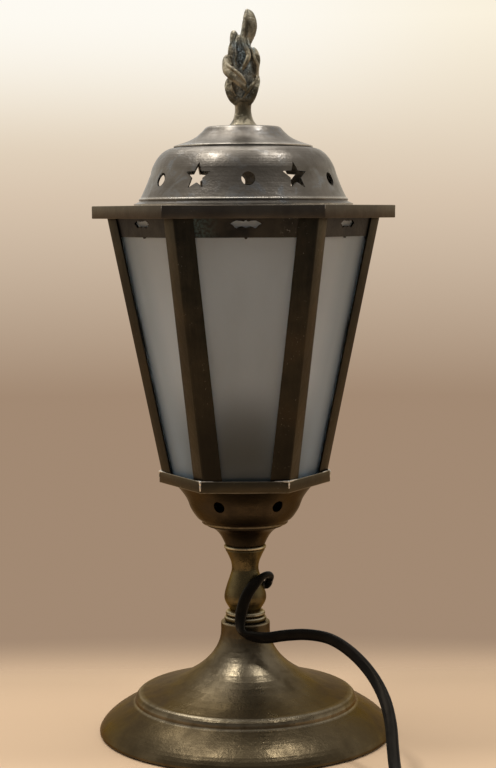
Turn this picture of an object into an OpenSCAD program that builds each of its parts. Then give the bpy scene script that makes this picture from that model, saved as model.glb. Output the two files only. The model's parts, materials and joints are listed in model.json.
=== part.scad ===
// Table lamp in the shape of a six-sided street lantern, spun and folded from brass sheet.
// The lamp stands on its felt at z = 0, +Z is up, and -Y is the front face of the lantern.

/* [Base] */
// Height of the base, from the table to the top of its collar
base_h = 62.4; // [58:0.1:70]
// Radius of the base at its rim
rim_r = 82; // [78:0.5:92]
// Thickness of the spun sheet of the base
base_wall = 1.2; // [0.8:0.1:1.6]
// Radius of the collar under the stem
collar_r = 13.7; // [13.2:0.1:16]
// Height of the straight collar
collar_h = 5.4; // [3:0.1:8]
// Radius of the raised middle of the base
step_r = 57; // [50:0.5:62]
// Height of the raised middle at its edge
step_z = 22.9; // [21:0.1:26]
// Width of the rounded step round the raised middle
step_w = 5; // [3:0.1:6]
// Height of the rounded step
step_h = 5; // [3:0.1:6]
// Gap between the rim of the sheet and the table
rim_lift = 1; // [0.6:0.1:1.4]
// Thickness of the felt
felt_t = 1.5; // [1.4:0.1:3]
// Gap between the felt's edge and the rim of the base
felt_margin = 3; // [2:0.5:6]
// Width of the base's rim that the cast weight leaves free
weight_margin = 10; // [8:0.5:20]
// Height of the weight's outer edge
weight_edge_h = 5; // [3:0.5:6]
// Thickness of the weight at its middle
weight_h = 18; // [14:0.5:18.5]
// Radius of the raised middle of the weight
weight_top_r = 44; // [36:0.5:48]
// Radius of the recess for the nut under the weight
recess_r = 15; // [12:0.5:20]
// Depth of the recess for the nut
recess_h = 8; // [7:0.5:10]

/* [Tube and nuts] */
// Outer radius of the threaded tube (M10)
tube_r = 5; // [4.5:0.1:5.5]
// Bore radius of the threaded tube
tube_bore_r = 3.7; // [3.6:0.05:3.9]
// Radial clearance round the tube
tube_gap = 0.3; // [0.2:0.05:0.6]
// Length of tube that stands out under the bottom nut
tube_stub = 1; // [0.5:0.5:2]
// Length of tube inside the lampholder
tube_grip = 6; // [4:0.5:8]
// Width of a lock nut across its flats
nut_flats = 14; // [13:0.5:17]
// Thickness of a lock nut
nut_t = 3; // [2:0.5:4]
// Radius of a washer
washer_r = 9; // [8.5:0.5:11]
// Thickness of a washer
washer_t = 1; // [0.8:0.1:1.5]

/* [Stem] */
// Height of the turned stem
stem_h = 43.4; // [40:0.1:60]
// Radius of the ring at the top of the stem
stem_top_r = 11.8; // [9.5:0.1:13]
// Thickness of the ring at the top of the stem
stem_ring_h = 2.6; // [1.5:0.1:3]
// Radius of the stem's waist
waist_r = 7.5; // [7.2:0.1:9]
// Height of the waist above the foot of the stem
waist_h = 29.4; // [28:0.1:32]
// Radius of the stem's belly
belly_r = 11.7; // [10.5:0.1:13.5]
// Height of the belly above the foot of the stem
belly_h = 14.6; // [13:0.1:17]
// Radius of the pinch under the belly
pinch_r = 8.6; // [7.5:0.1:10]
// Height of the pinch above the foot of the stem
pinch_h = 6.6; // [6.4:0.1:8]
// Radius of the lower ring of the stem's foot
foot_ring_r = 11.8; // [11.5:0.1:13]
// Radius of the upper ring of the stem's foot
foot_bead_r = 11.1; // [10:0.1:11.4]
// Height of the lower ring
foot_ring_h = 3.1; // [2:0.1:3.2]
// Height of the upper ring
foot_bead_h = 2.8; // [2:0.1:3.2]

/* [Flex entry] */
// Height of the flex hole above the foot of the stem
hole_h = 19.6; // [17:0.1:22]
// Direction of the flex hole, counted from +X towards the back
hole_turn = 12; // [0:1:25]
// Radius of the flex hole
hole_r = 4.2; // [4.1:0.1:4.5]
// Radial clearance of the bush in its hole
bush_gap = 0.1; // [0.05:0.05:0.2]
// Length of the bush
bush_l = 4; // [3:0.1:4.5]
// Play of the flex in the bush and in other close openings
flex_gap = 0.1; // [0.05:0.05:0.2]

/* [Neck and cup] */
// Height of the trumpet-shaped neck
neck_h = 12.2; // [11:0.1:20]
// Radius of the neck at its top
neck_top_r = 21.6; // [17:0.1:22.5]
// Radius of the neck at its foot
neck_foot_r = 11.4; // [9:0.1:13]
// Height of the cup under the tray
cup_h = 22.7; // [18:0.1:30]
// Radius of the cup at its mouth
cup_top_r = 38.4; // [34:0.1:40]
// Radius of the cup's bottom lip
cup_lip_r = 24; // [23:0.1:27]
// Thickness of the spun sheet of the cup
cup_wall = 1.2; // [0.8:0.1:1.6]
// Radius of the air holes in the cup
cup_hole_r = 3.2; // [2:0.1:4]
// Height of the air holes above the cup's bottom
cup_hole_h = 13.1; // [9:0.1:15]
// Turn of the ring of air holes
cup_hole_turn = 4; // [-10:1:10]

/* [Lantern frame] */
// Radius of the frame at its corners, at the tray's floor
frame_foot_r = 45.2; // [44:0.1:46.5]
// Width by which the eaves stand out past the frame, at their corners
eaves_reach = 7.5; // [5:0.1:14]
// Height of the frame, from the tray's floor to the head plate
frame_h = 150.2; // [140:0.1:170]
// Width of one flange of a corner post
flange_w = 10.2; // [8:0.1:12]
// Thickness of the folded sheet of the posts
post_t = 1; // [0.8:0.1:1.2]
// Radius of the fold on the outside of a post
fold_r = 1.2; // [1.2:0.1:2]
// Radius of the tray at its corners
tray_r = 47.5; // [47.4:0.1:50]
// Thickness of the tray's floor
tray_t = 0.8; // [0.6:0.1:1.2]
// Thickness of the tray's upturned rim
tray_wall = 0.7; // [0.5:0.05:0.8]
// Height of the tray with its rim
tray_h = 6.3; // [4:0.1:6.6]
// Thickness of the head plate on the posts
head_t = 1; // [0.8:0.1:1.5]
// Width by which the head plate stands out past the posts, at its corners
head_edge = 1.2; // [0.5:0.1:2]
// Width of the head plate's ledge, at the middle of a side
head_ledge = 10.7; // [8.5:0.1:14]
// Turn of the posts, friezes and panes between the tray and the roof, as fitted by hand
frame_turn = 1.2; // [-2:0.1:2]

/* [Glass] */
// Thickness of a pane
glass_t = 2; // [1.5:0.1:2.2]
// Play between a pane and what it stands against
glass_gap = 0.2; // [0.15:0.05:0.4]
// Distance from a pane's edge to the corner of the frame
glass_margin = 3.3; // [3.2:0.1:4.5]
// Length of a pane clip
clip_l = 18; // [10:1:24]
// Width of a pane clip's arm
clip_w = 6; // [4:0.5:8]
// Thickness of the clip's sheet
clip_t = 0.6; // [0.5:0.1:0.8]
// Height of the pane clips above the tray's floor
clip_h = 71; // [60:1:100]

/* [Frieze] */
// Height of a frieze band
frieze_h = 14.4; // [12:0.1:18]
// Thickness of a frieze band
frieze_t = 1; // [0.8:0.1:1.2]
// Distance from a band's end to the corner of the frame
frieze_margin = 1.8; // [1.7:0.1:3]
// Width of the pierced motif
motif_w = 16.4; // [12:0.1:20]
// Height of the pierced motif
motif_h = 4.4; // [3:0.1:6]
// Height of the motif's middle above the band's lower edge
motif_rise = 6.8; // [5:0.1:8]
// Radius of the little nib under the middle of a band
nib_r = 0.8; // [0.4:0.1:1.2]

/* [Roof] */
// Radius of the eaves at their corners
eaves_r = 83.3; // [81:0.1:90]
// Height of the turned-down rim of the eaves
eaves_h = 6.9; // [4:0.1:9]
// Thickness of the sheet of the eaves
eaves_t = 1; // [0.8:0.1:1.4]
// Radius of the opening in the eaves, under the dome
eaves_hole_r = 52; // [48:0.5:53]
// Length of the locating lugs under the eaves
lug_l = 9; // [4:0.5:12]
// Thickness of the lugs
lug_t = 1; // [0.8:0.1:1.5]
// Half of the angle that a lug covers
lug_half = 9; // [5:1:15]
// Play between the lugs and the opening of the head plate
lug_gap = 0.6; // [0.4:0.1:1]
// Height of the dome, from the eaves to the crown
dome_h = 31.5; // [28:0.1:40]
// Radius of the dome's foot
dome_foot_r = 60; // [57:0.1:64]
// Height of the bead above the dome's foot
bead_h = 4.1; // [3:0.1:5]
// Radius of the dome above the bead
bead_r = 56.4; // [54:0.1:57]
// Radius of the dome's shoulder
shoulder_r = 49.8; // [46:0.1:52]
// Height of the shoulder above the dome's foot
shoulder_h = 20.4; // [18:0.1:22]
// Radius of the dome's flat crown
crown_r = 36; // [32:0.1:38]
// Thickness of the spun sheet of the dome
dome_wall = 1; // [0.8:0.1:1.4]
// Radius of a star at its points
star_r = 7.6; // [5:0.1:9]
// Radius of a star between its points
star_inner_r = 3.4; // [2.5:0.1:4]
// Height of the stars above the eaves
star_h = 15.2; // [12:0.1:17]
// Turn of the ring of stars
star_turn = 2.2; // [-5:0.1:5]
// Radius of the round holes between the stars
vent_r = 3.6; // [2:0.1:5]
// Height of the round holes above the eaves
vent_h = 13.8; // [11:0.1:17]
// Turn of the ring of round holes
vent_turn = 3; // [-5:0.1:5]
// Height of the cap on the crown
cap_h = 11.4; // [9:0.1:15]
// Radius of the cap's lip
cap_lip_r = 38; // [37:0.1:42]
// Thickness of the cap's lip
cap_lip_h = 1.1; // [0.8:0.1:2]
// Radius of the cap's flat top
cap_top_r = 20; // [16:0.1:24]
// Thickness of the spun sheet of the cap
cap_wall = 0.9; // [0.7:0.1:1.2]

/* [Finial] */
// Height of the flame above the cap, with its neck and foot
finial_h = 63.4; // [50:0.1:75]
// Height of the finial's neck and foot
finial_neck_h = 13; // [10:0.1:16]
// Radius of the finial's foot
finial_foot_r = 7.2; // [6:0.1:9]
// Radius of the finial's neck
finial_neck_r = 4.4; // [4.3:0.1:5]
// Radius of the finial's stud
stud_r = 3; // [2.5:0.1:3.2]
// Radial clearance of the stud in the sheet
stud_gap = 0.3; // [0.2:0.05:0.5]
// Depth of the stud in the finial
stud_grip = 9; // [6:0.5:11]
// Width of the roof nut across its flats
roof_nut_flats = 10; // [9:0.5:12]
// Thickness of the roof nut
roof_nut_t = 5; // [3:0.5:6]
// Radius of the roof washer
roof_washer_r = 8; // [6:0.5:10]

/* [Lampholder and lamp] */
// Radius of the lampholder
holder_r = 12; // [11.5:0.1:14]
// Height of the lampholder
holder_h = 36; // [35:0.5:42]
// Thickness of the lampholder's shell
holder_wall = 1; // [0.8:0.1:1.3]
// Radius of the insulator's well
well_r = 8.9; // [8.8:0.1:9.3]
// Depth of the insulator's well
well_h = 22; // [21:0.5:24]
// Thickness of the threaded liner
liner_t = 0.5; // [0.4:0.05:0.6]
// Play between the parts of the lampholder and the lamp
holder_gap = 0.3; // [0.2:0.05:0.4]
// Radius of the lamp cap (E14)
lamp_cap_r = 6.9; // [6.5:0.1:7.1]
// Length of the lamp cap
lamp_cap_l = 20; // [18:0.5:22]
// Radius of the candle bulb
bulb_r = 17.5; // [14:0.1:22]
// Length of the candle bulb's glass
bulb_l = 79; // [70:0.5:90]
// Thickness of the bulb's glass
bulb_wall = 0.8; // [0.6:0.1:1]

/* [Flex] */
// Width of the flat two-core flex
flex_w = 6.4; // [6:0.1:6.6]
// Thickness of the flat flex
flex_t = 3.9; // [3.5:0.1:4.1]
// Radius of the coil at the middle of its turns
coil_r = 33; // [31:0.5:38]
// Turns of the coil, in its two layers together
coil_turns = 6; // [4:1:8]
// Gap between one turn and the next
coil_gap = 0.6; // [0.5:0.05:1]
// Thickness of the tie round the coil
tie_t = 0.8; // [0.5:0.1:1.2]
// Width of the tie
tie_w = 5; // [3:0.5:8]

/* [Switch] */
// Length of the flex switch
switch_l = 62; // [56:0.5:70]
// Width of the flex switch
switch_w = 26; // [24:0.5:32]
// Height of the switch's lower half
switch_low_h = 8; // [7:0.5:10]
// Height of the switch's upper half
switch_top_h = 8; // [7:0.5:10]
// Wall of the switch's halves
switch_wall = 1.8; // [1.5:0.1:2.2]
// Length of the rocker
rocker_l = 18; // [14:0.5:20]
// Width of the rocker
rocker_w = 10; // [8:0.5:12]
// Angle through which the rocker tips
rocker_swing = 16; // [12:1:18]
// Radius of the rocker's pivots
pivot_r = 1.5; // [1.2:0.1:1.8]
// Play round the rocker
rocker_gap = 0.6; // [0.5:0.05:0.8]

/* [Plug] */
// Width of the two-pin plug
plug_w = 35.3; // [34:0.1:36]
// Height of the plug
plug_h = 13.7; // [13:0.1:15]
// Length of the plug's body
plug_l = 34; // [30:0.5:40]
// Radius of a plug pin
pin_r = 2; // [2:0.1:2.4]
// Length of a plug pin
pin_l = 19; // [17:0.5:20]
// Distance between the plug pins
pin_pitch = 18.6; // [17.5:0.1:19]

/* [Hidden] */
$fn = 96;

brass_dark = [0.30, 0.24, 0.16];
brass_old = [0.36, 0.31, 0.21];
brass_roof = [0.38, 0.34, 0.29];

weight_r = rim_r - weight_margin;
frame_top_r = eaves_r - eaves_reach;
// Number of sides of the lantern
sides = 6;

// Heights of the seats, from the table up
stem_z = base_h;
neck_z = stem_z + stem_h;
cup_z = neck_z + neck_h;
tray_z = cup_z + cup_h;
floor_z = tray_z + tray_t;
head_z = floor_z + frame_h;
eaves_z = head_z + head_t;
roof_z = eaves_z + eaves_t;
crown_z = roof_z + dome_h;
cap_z = crown_z + cap_h;

// Lean of the lantern: of a face, of a corner, and the turn of a flange's normal in the fold
frame_slope = (frame_top_r - frame_foot_r) / frame_h;
half_side = 180 / sides;
head_hole_r = (frame_top_r + head_edge) * cos(half_side) - head_ledge;
face_lean = atan(frame_slope * cos(half_side));
post_lean = atan(frame_slope);
flange_turn = atan(sin(half_side) * cos(face_lean)
    / (cos(half_side) * cos(face_lean) * cos(post_lean) + sin(face_lean) * sin(post_lean)));
glass_depth = post_t + frieze_t + glass_gap;
clip_depth = glass_depth + glass_t + glass_gap;

tube_hole_r = tube_r + tube_gap;
shell_bottom_z = stem_z - base_wall;
tube_foot_z = felt_t + recess_h - washer_t - nut_t - tube_stub;
nut_z = floor_z + washer_t;
holder_z = nut_z + nut_t;
tube_top_z = holder_z + tube_grip;
well_z = holder_z + holder_h - well_h;
lamp_z = well_z + 3;
bulb_z = lamp_z + lamp_cap_l;
hole_z = stem_z + hole_h;

function mix(a, b, t) = a + (b - a) * t;
function reversed(p) = [for (i = [len(p) - 1 : -1 : 0]) p[i]];
function last(p) = p[len(p) - 1];

// Points of a cubic curve with two handles
function bezier(a, b, c, d, n) = [for (i = [0 : n]) let (t = i / n, s = 1 - t)
    s * s * s * a + 3 * s * s * t * b + 3 * s * t * t * c + t * t * t * d];

// Points of a smooth curve through the points of a list
function at(p, i) = p[max(0, min(len(p) - 1, i))];
function through(a, b, c, d, t) = 0.5 * (2 * b + (c - a) * t
    + (2 * a - 5 * b + 4 * c - d) * t * t + (3 * b - a - 3 * c + d) * t * t * t);
function curve(p, n) = [for (i = [0 : len(p) - 2], j = [0 : n - 1])
    through(at(p, i - 1), p[i], p[i + 1], at(p, i + 2), j / n), last(p)];

// Points of an arc
function arc(centre, r, from, to, n) = [for (i = [0 : n]) let (a = mix(from, to, i / n))
    centre + r * [cos(a), sin(a)]];

// The line that lies a sheet's thickness to the right of a line
function normal(a, b) = let (d = b - a) [d[1], -d[0]] / norm(d);
function mitre(p, i) = let (
    m = normal(at(p, max(i, 1) - 1), at(p, max(i, 1))),
    n = normal(at(p, min(i, len(p) - 2)), at(p, min(i, len(p) - 2) + 1))) (m + n) / (1 + m * n);
function inside(p, t) = [for (i = [0 : len(p) - 1]) p[i] + t * mitre(p, i)];

// A sheet of even thickness, spun to an outer line that runs from its top to its foot
module spun(line, t) {
    rotate_extrude() polygon(concat(line, reversed(inside(line, t))));
}

module hex_nut(flats, t, bore_r) {
    difference() {
        cylinder(r = flats / 2 / cos(30), h = t, $fn = 6);
        translate([0, 0, -1]) cylinder(r = bore_r, h = t + 2);
    }
}

module washer(r, t, bore_r) {
    difference() {
        cylinder(r = r, h = t);
        translate([0, 0, -1]) cylinder(r = bore_r, h = t + 2);
    }
}

// ---------------------------------------------------------------- base and stem

flare_top = [collar_r, base_h - collar_h];
flare_fall = base_h - collar_h - step_z;
flange_top = [step_r + step_w, step_z - step_h];
base_line = concat(
    [[tube_hole_r, base_h], [collar_r - 0.7, base_h], [collar_r - 0.2, base_h - 0.2]],
    [[collar_r, base_h - 0.7]],
    bezier(flare_top, flare_top - [0, 0.29 * flare_fall],
        [mix(collar_r, step_r, 0.22), flare_top[1] - 0.74 * flare_fall], [step_r, step_z], 14),
    bezier([step_r + 0.6, step_z - 0.1], [step_r + 0.6 * step_w, step_z - 0.1],
        [step_r + step_w, step_z - 0.4 * step_h], flange_top, 5),
    bezier(flange_top + [0.5, -0.7], mix(flange_top, [rim_r, rim_lift], 0.4) + [0, 2.6],
        [rim_r - 2.2, 0.46 * flange_top[1]], [rim_r, rim_lift + 1.2], 10),
    [[rim_r, rim_lift]]);

module felt_pad() {
    color([0.10, 0.16, 0.11]) cylinder(r = rim_r - felt_margin, h = felt_t);
}

module base_weight() {
    weight_top = felt_t + weight_h;
    color([0.22, 0.22, 0.23]) difference() {
        rotate_extrude() polygon([[tube_hole_r, felt_t], [weight_r, felt_t],
            [weight_r, felt_t + weight_edge_h], [step_r - base_wall, felt_t + weight_h * 0.65],
            [weight_top_r, weight_top], [tube_hole_r, weight_top]]);
        translate([0, 0, felt_t - 1]) cylinder(r = recess_r, h = recess_h + 1);
    }
}

module base_shell() {
    color(brass_old) spun(base_line, base_wall);
}

module base_nut() {
    color(brass_old) {
        translate([0, 0, felt_t + recess_h - washer_t - nut_t])
            hex_nut(nut_flats, nut_t, tube_hole_r);
        translate([0, 0, felt_t + recess_h - washer_t]) washer(washer_r, washer_t, tube_hole_r);
    }
}

// The slot lets the flex pass from the stem's side hole into the tube
module threaded_tube() {
    slot_h = 4 * flex_t;
    color([0.62, 0.62, 0.60]) difference() {
        translate([0, 0, tube_foot_z]) cylinder(r = tube_r, h = tube_top_z - tube_foot_z);
        translate([0, 0, tube_foot_z - 1])
            cylinder(r = tube_bore_r, h = tube_top_z - tube_foot_z + 2);
        rotate([0, 0, hole_turn]) translate([0, -flex_w / 2 - flex_gap, hole_z - 0.6 * flex_t])
            cube([2 * tube_r, flex_w + 2 * flex_gap, slot_h]);
    }
}

ring_z = stem_z + stem_h - stem_ring_h;
waist_z = stem_z + waist_h;
belly_z = stem_z + belly_h;
pinch_z = stem_z + pinch_h;
bead_z = stem_z + foot_ring_h;
// Half of the arc that a turned bead shows
bead_turn = 75;
stem_line = concat(
    arc([stem_top_r - stem_ring_h / 2, ring_z + stem_ring_h / 2], stem_ring_h / 2, 90, -bead_turn, 6),
    curve([[mix(stem_top_r, waist_r, 0.2), ring_z - 0.6],
        [mix(stem_top_r, waist_r, 0.55), mix(ring_z, waist_z, 0.31)],
        [mix(stem_top_r, waist_r, 0.9), mix(ring_z, waist_z, 0.64)],
        [waist_r, waist_z],
        [mix(waist_r, belly_r, 0.29), mix(waist_z, belly_z, 0.3)],
        [mix(waist_r, belly_r, 0.72), mix(waist_z, belly_z, 0.66)],
        [belly_r, belly_z],
        [mix(belly_r, pinch_r, 0.16), mix(belly_z, pinch_z, 0.45)],
        [pinch_r, pinch_z]], 4),
    arc([foot_bead_r - foot_bead_h / 2, bead_z + foot_bead_h / 2], foot_bead_h / 2, bead_turn, -bead_turn, 6),
    arc([foot_ring_r - foot_ring_h / 2, stem_z + foot_ring_h / 2], foot_ring_h / 2, bead_turn, -90, 6));

module stem() {
    color([0.42, 0.35, 0.20]) difference() {
        rotate_extrude() polygon(concat([[tube_hole_r, stem_z + stem_h]], stem_line,
            [[tube_hole_r, stem_z]]));
        rotate([0, 0, hole_turn]) translate([0, 0, hole_z]) rotate([0, 90, 0])
            cylinder(r = hole_r, h = 2 * belly_r);
    }
}

// Outline of the flat flex, and of openings that it passes through
module flex_outline(gap) {
    for (i = [-1, 1]) translate([i * (flex_w - flex_t) / 2, 0]) circle(r = flex_t / 2 + gap);
    square([flex_w - flex_t, flex_t + 2 * gap], center = true);
}

hole_out = mix(belly_r, waist_r, 0.35);
module cord_bush() {
    color([0.06, 0.06, 0.06]) rotate([0, 0, hole_turn])
        translate([hole_out - bush_l, 0, hole_z]) rotate([0, 90, 0]) difference() {
            cylinder(r = hole_r - bush_gap, h = bush_l);
            translate([0, 0, -1]) linear_extrude(bush_l + 2) rotate(90) flex_outline(flex_gap);
        }
}

// ---------------------------------------------------------------- neck, cup and tray

neck_line = concat([[neck_top_r, cup_z], [neck_top_r, cup_z - 1]],
    bezier([neck_top_r - 0.6, cup_z - 1.4],
        [mix(neck_top_r, neck_foot_r, 0.6), cup_z - 0.24 * neck_h],
        [mix(neck_top_r, neck_foot_r, 0.83), neck_z + 0.4 * neck_h],
        [neck_foot_r, neck_z + 0.8], 10),
    [[neck_foot_r - 0.4, neck_z]]);

module neck() {
    color(brass_old) rotate_extrude() polygon(concat([[tube_hole_r, cup_z]], neck_line,
        [[tube_hole_r, neck_z]]));
}

cup_line = concat([[cup_top_r, tray_z]],
    curve([[cup_top_r, tray_z - 0.7],
        [mix(cup_lip_r, cup_top_r, 0.79), mix(cup_z, tray_z, 0.82)],
        [mix(cup_lip_r, cup_top_r, 0.58), mix(cup_z, tray_z, 0.62)],
        [mix(cup_lip_r, cup_top_r, 0.42), mix(cup_z, tray_z, 0.37)],
        [mix(cup_lip_r, cup_top_r, 0.2), mix(cup_z, tray_z, 0.16)],
        [cup_lip_r + 0.4, cup_z + 1.6]], 4),
    [[cup_lip_r, cup_z + 1.2], [cup_lip_r, cup_z + 0.4], [cup_lip_r - 0.4, cup_z],
        [tube_hole_r, cup_z]]);

module gallery_cup() {
    color(brass_old) difference() {
        spun(cup_line, cup_wall);
        for (i = [0 : 5]) rotate([0, 0, -60 + cup_hole_turn + 60 * i])
            translate([0, 0, cup_z + cup_hole_h]) rotate([0, 90, 0])
                cylinder(r = cup_hole_r, h = cup_top_r + 5);
    }
}

module lower_tray() {
    color(brass_dark) translate([0, 0, tray_z]) difference() {
        cylinder(r = tray_r, h = tray_h, $fn = sides);
        translate([0, 0, tray_t])
            cylinder(r = tray_r - tray_wall / cos(half_side), h = tray_h, $fn = sides);
        translate([0, 0, -1]) cylinder(r = tube_hole_r, h = tray_h);
    }
}

module tray_nut() {
    color(brass_old) {
        translate([0, 0, floor_z]) washer(washer_r, washer_t, tube_hole_r);
        translate([0, 0, nut_z]) hex_nut(nut_flats, nut_t, tube_hole_r);
    }
}

// ---------------------------------------------------------------- lantern frame and glass

// Place on the leaning face number k: x along the face, y up the slope, extruded inwards
// from the given depth under the face's outer plane
module on_face(k, depth, t) {
    rotate([0, 0, half_side * (2 * k + 1) - 120 + frame_turn])
        translate([frame_foot_r * cos(half_side), 0, floor_z]) rotate([0, face_lean, 0])
            translate([-depth - t, 0, 0]) rotate([90, 0, 90]) linear_extrude(t) children();
}

function up(h) = h / cos(face_lean);
function half_width(h, margin) = (frame_foot_r + frame_slope * h) / 2 - margin;

// A trapezoid that fills a face between two heights, with a margin at its ends
module panel(low, high, margin) {
    polygon([[-half_width(low, margin), up(low)], [half_width(low, margin), up(low)],
        [half_width(high, margin), up(high)], [-half_width(high, margin), up(high)]]);
}

// Section of a strip folded to the corner's angle, at a depth under the outer planes
module fold(depth, t, leg, r) {
    apex = -depth / cos(flange_turn);
    heart = -(depth + r) / cos(flange_turn);
    along = [-sin(flange_turn), cos(flange_turn)];
    across = [cos(flange_turn), sin(flange_turn)];
    flip = [[1, 0], [0, -1]];
    far = [apex, 0] + leg * along;
    touch = [heart, 0] + r * across;
    difference() {
        union() {
            polygon([touch, far, far - t * across, flip * (far - t * across), flip * far,
                flip * touch]);
            translate([heart, 0]) circle(r = r);
        }
        polygon([[apex - t / cos(flange_turn), 0],
            [apex - t / cos(flange_turn), 0] + 2 * leg * along,
            [apex - t / cos(flange_turn), 0] + 2 * leg * flip * along]);
    }
}

// Direction of the corner between faces k and k + 1, leaning with the frame
module at_corner(k) {
    rotate([0, 0, 2 * half_side * k - 60 + frame_turn]) translate([frame_foot_r, 0, floor_z])
        rotate([0, post_lean, 0]) children();
}

module corner_post(k) {
    run = frame_h / cos(post_lean);
    color(brass_dark) intersection() {
        at_corner(k) translate([0, 0, -10]) linear_extrude(run + 20)
            fold(0, post_t, flange_w, fold_r);
        translate([0, 0, floor_z]) cylinder(r = 2 * frame_top_r, h = frame_h, $fn = 6);
    }
}

module pane_clips() {
    color(brass_dark) for (k = [0 : 5]) at_corner(k)
        translate([0, 0, clip_h / cos(post_lean)]) linear_extrude(clip_l) {
            fold(clip_depth, clip_t, clip_w, clip_t);
            translate([-(clip_depth + clip_t / 2) / cos(flange_turn), -clip_t / 2])
                square([(clip_depth + clip_t / 2 - post_t) / cos(flange_turn) - 0.25, clip_t]);
        }
}

motif_half = [[0, 0.5], [0.14, 0.34], [0.33, 0.42], [0.64, 0.45], [0.84, 0.26], [1, 0.04],
    [0.82, -0.12], [0.69, -0.38], [0.58, -0.5], [0.46, -0.36], [0.3, -0.28], [0, -0.4]];

// Winged motif that is pierced through the frieze
module motif() {
    right = [for (p = motif_half) [p[0] * motif_w / 2, p[1] * motif_h]];
    left = [for (i = [len(right) - 2 : -1 : 1]) [-right[i][0], right[i][1]]];
    polygon(concat(right, left));
}

frieze_top = frame_h - 0.2 - (post_t + frieze_t) * sin(face_lean);
frieze_low = frieze_top - frieze_h;
module frieze(k) {
    color(brass_dark) on_face(k, post_t, frieze_t) difference() {
        union() {
            panel(frieze_low, frieze_top, frieze_margin);
            translate([0, up(frieze_low)]) circle(r = nib_r);
        }
        translate([0, up(frieze_low + motif_rise)]) motif();
    }
}

module glass_pane(k) {
    color([0.62, 0.62, 0.60, 0.85]) on_face(k, glass_depth, glass_t)
        panel(glass_gap, frame_h - 2 * glass_gap - 0.5, glass_margin);
}

module frame_head() {
    color(brass_dark) translate([0, 0, head_z]) difference() {
        cylinder(r = frame_top_r + head_edge, h = head_t, $fn = sides);
        translate([0, 0, -1]) cylinder(r = head_hole_r, h = head_t + 2);
    }
}

// ---------------------------------------------------------------- lampholder and lamp

holder_top = holder_z + holder_h;
module holder_shell() {
    color([0.35, 0.29, 0.18]) difference() {
        union() {
            translate([0, 0, holder_z]) cylinder(r = holder_r, h = holder_h);
            translate([0, 0, holder_top - 4]) cylinder(r = holder_r + 0.6, h = 3);
        }
        translate([0, 0, holder_z + holder_wall])
            cylinder(r = holder_r - holder_wall, h = holder_h);
        translate([0, 0, holder_z - 1]) cylinder(r = tube_hole_r, h = holder_h);
    }
}

insulator_r = holder_r - holder_wall - holder_gap;
insulator_z = tube_top_z + 1;
module holder_insulator() {
    color([0.85, 0.83, 0.78]) difference() {
        translate([0, 0, insulator_z]) cylinder(r = insulator_r, h = holder_top - insulator_z);
        translate([0, 0, well_z]) cylinder(r = well_r, h = well_h + 1);
        for (i = [-1, 1]) translate([i * 4, 0, insulator_z - 1]) cylinder(r = 1.6, h = 4);
    }
}

liner_r = well_r - 0.2;
module holder_liner() {
    color([0.70, 0.58, 0.32]) difference() {
        translate([0, 0, well_z]) cylinder(r = liner_r, h = well_h - 4);
        translate([0, 0, well_z + liner_t]) cylinder(r = liner_r - liner_t, h = well_h);
        translate([0, 0, well_z - 1]) cylinder(r = 4, h = 3);
    }
}

module holder_contact() {
    color([0.70, 0.58, 0.32]) {
        translate([-1.6, -1.25, well_z]) cube([4.6, 2.5, 0.5]);
        translate([-1.6, -1.25, well_z]) cube([0.5, 2.5, lamp_z - well_z - holder_gap]);
    }
}

module lamp_cap() {
    color([0.72, 0.70, 0.66]) translate([0, 0, lamp_z]) rotate_extrude()
        polygon(concat([[0, 0], [2, 0], [2.4, 1], [lamp_cap_r - 1.2, 2.2], [lamp_cap_r, 3.4]],
            [[lamp_cap_r, lamp_cap_l - 2], [lamp_cap_r + 1, lamp_cap_l]],
            [[lamp_cap_r, lamp_cap_l], [lamp_cap_r - 0.8, lamp_cap_l - 2]],
            [[lamp_cap_r - 0.8, 4], [0, 3]]));
}

bulb_line = curve([[0.6, bulb_z + bulb_l], [2.2, bulb_z + bulb_l - 3],
    [4.2, bulb_z + 0.86 * bulb_l], [0.55 * bulb_r, bulb_z + 0.72 * bulb_l],
    [0.86 * bulb_r, bulb_z + 0.5 * bulb_l], [bulb_r, bulb_z + 0.28 * bulb_l],
    [0.86 * bulb_r, bulb_z + 0.11 * bulb_l], [lamp_cap_r + 1.2, bulb_z + 0.02 * bulb_l],
    [lamp_cap_r - 1, bulb_z - 0.6]], 4);

module lamp_bulb() {
    color([0.80, 0.82, 0.83, 0.45]) rotate_extrude() polygon(concat(
        [[0, bulb_z + bulb_l + 0.3]], bulb_line,
        reversed([for (p = inside(bulb_line, bulb_wall)) if (p[0] > 0.3) p]),
        [[0, bulb_z + bulb_l - 3]]));
}

// Glass foot inside the bulb, with its two wires and the filament across them
module lamp_filament() {
    foot_z = bulb_z - 6;
    wire_z = bulb_z + 0.4 * bulb_l;
    color([0.55, 0.55, 0.55]) {
        translate([0, 0, foot_z]) cylinder(r = 2.4, h = 0.22 * bulb_l);
        translate([0, 0, bulb_z - 0.4]) cylinder(r = lamp_cap_r - 1.2 - bulb_wall, h = 1);
        for (i = [-1, 1]) translate([i * 1.6, 0, foot_z]) cylinder(r = 0.35, h = wire_z - foot_z);
        translate([-1.6, 0, wire_z - 0.4]) rotate([0, 90, 0]) cylinder(r = 0.35, h = 3.2);
    }
}

// ---------------------------------------------------------------- roof

module eaves() {
    color(brass_dark) difference() {
        translate([0, 0, roof_z - eaves_h]) cylinder(r = eaves_r, h = eaves_h, $fn = sides);
        translate([0, 0, roof_z - eaves_h - 1]) cylinder(r = eaves_r - eaves_t / cos(half_side),
            h = eaves_h - eaves_t + 1, $fn = sides);
        translate([0, 0, roof_z - eaves_h]) cylinder(r = eaves_hole_r, h = eaves_h + 1);
    }
}

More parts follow.
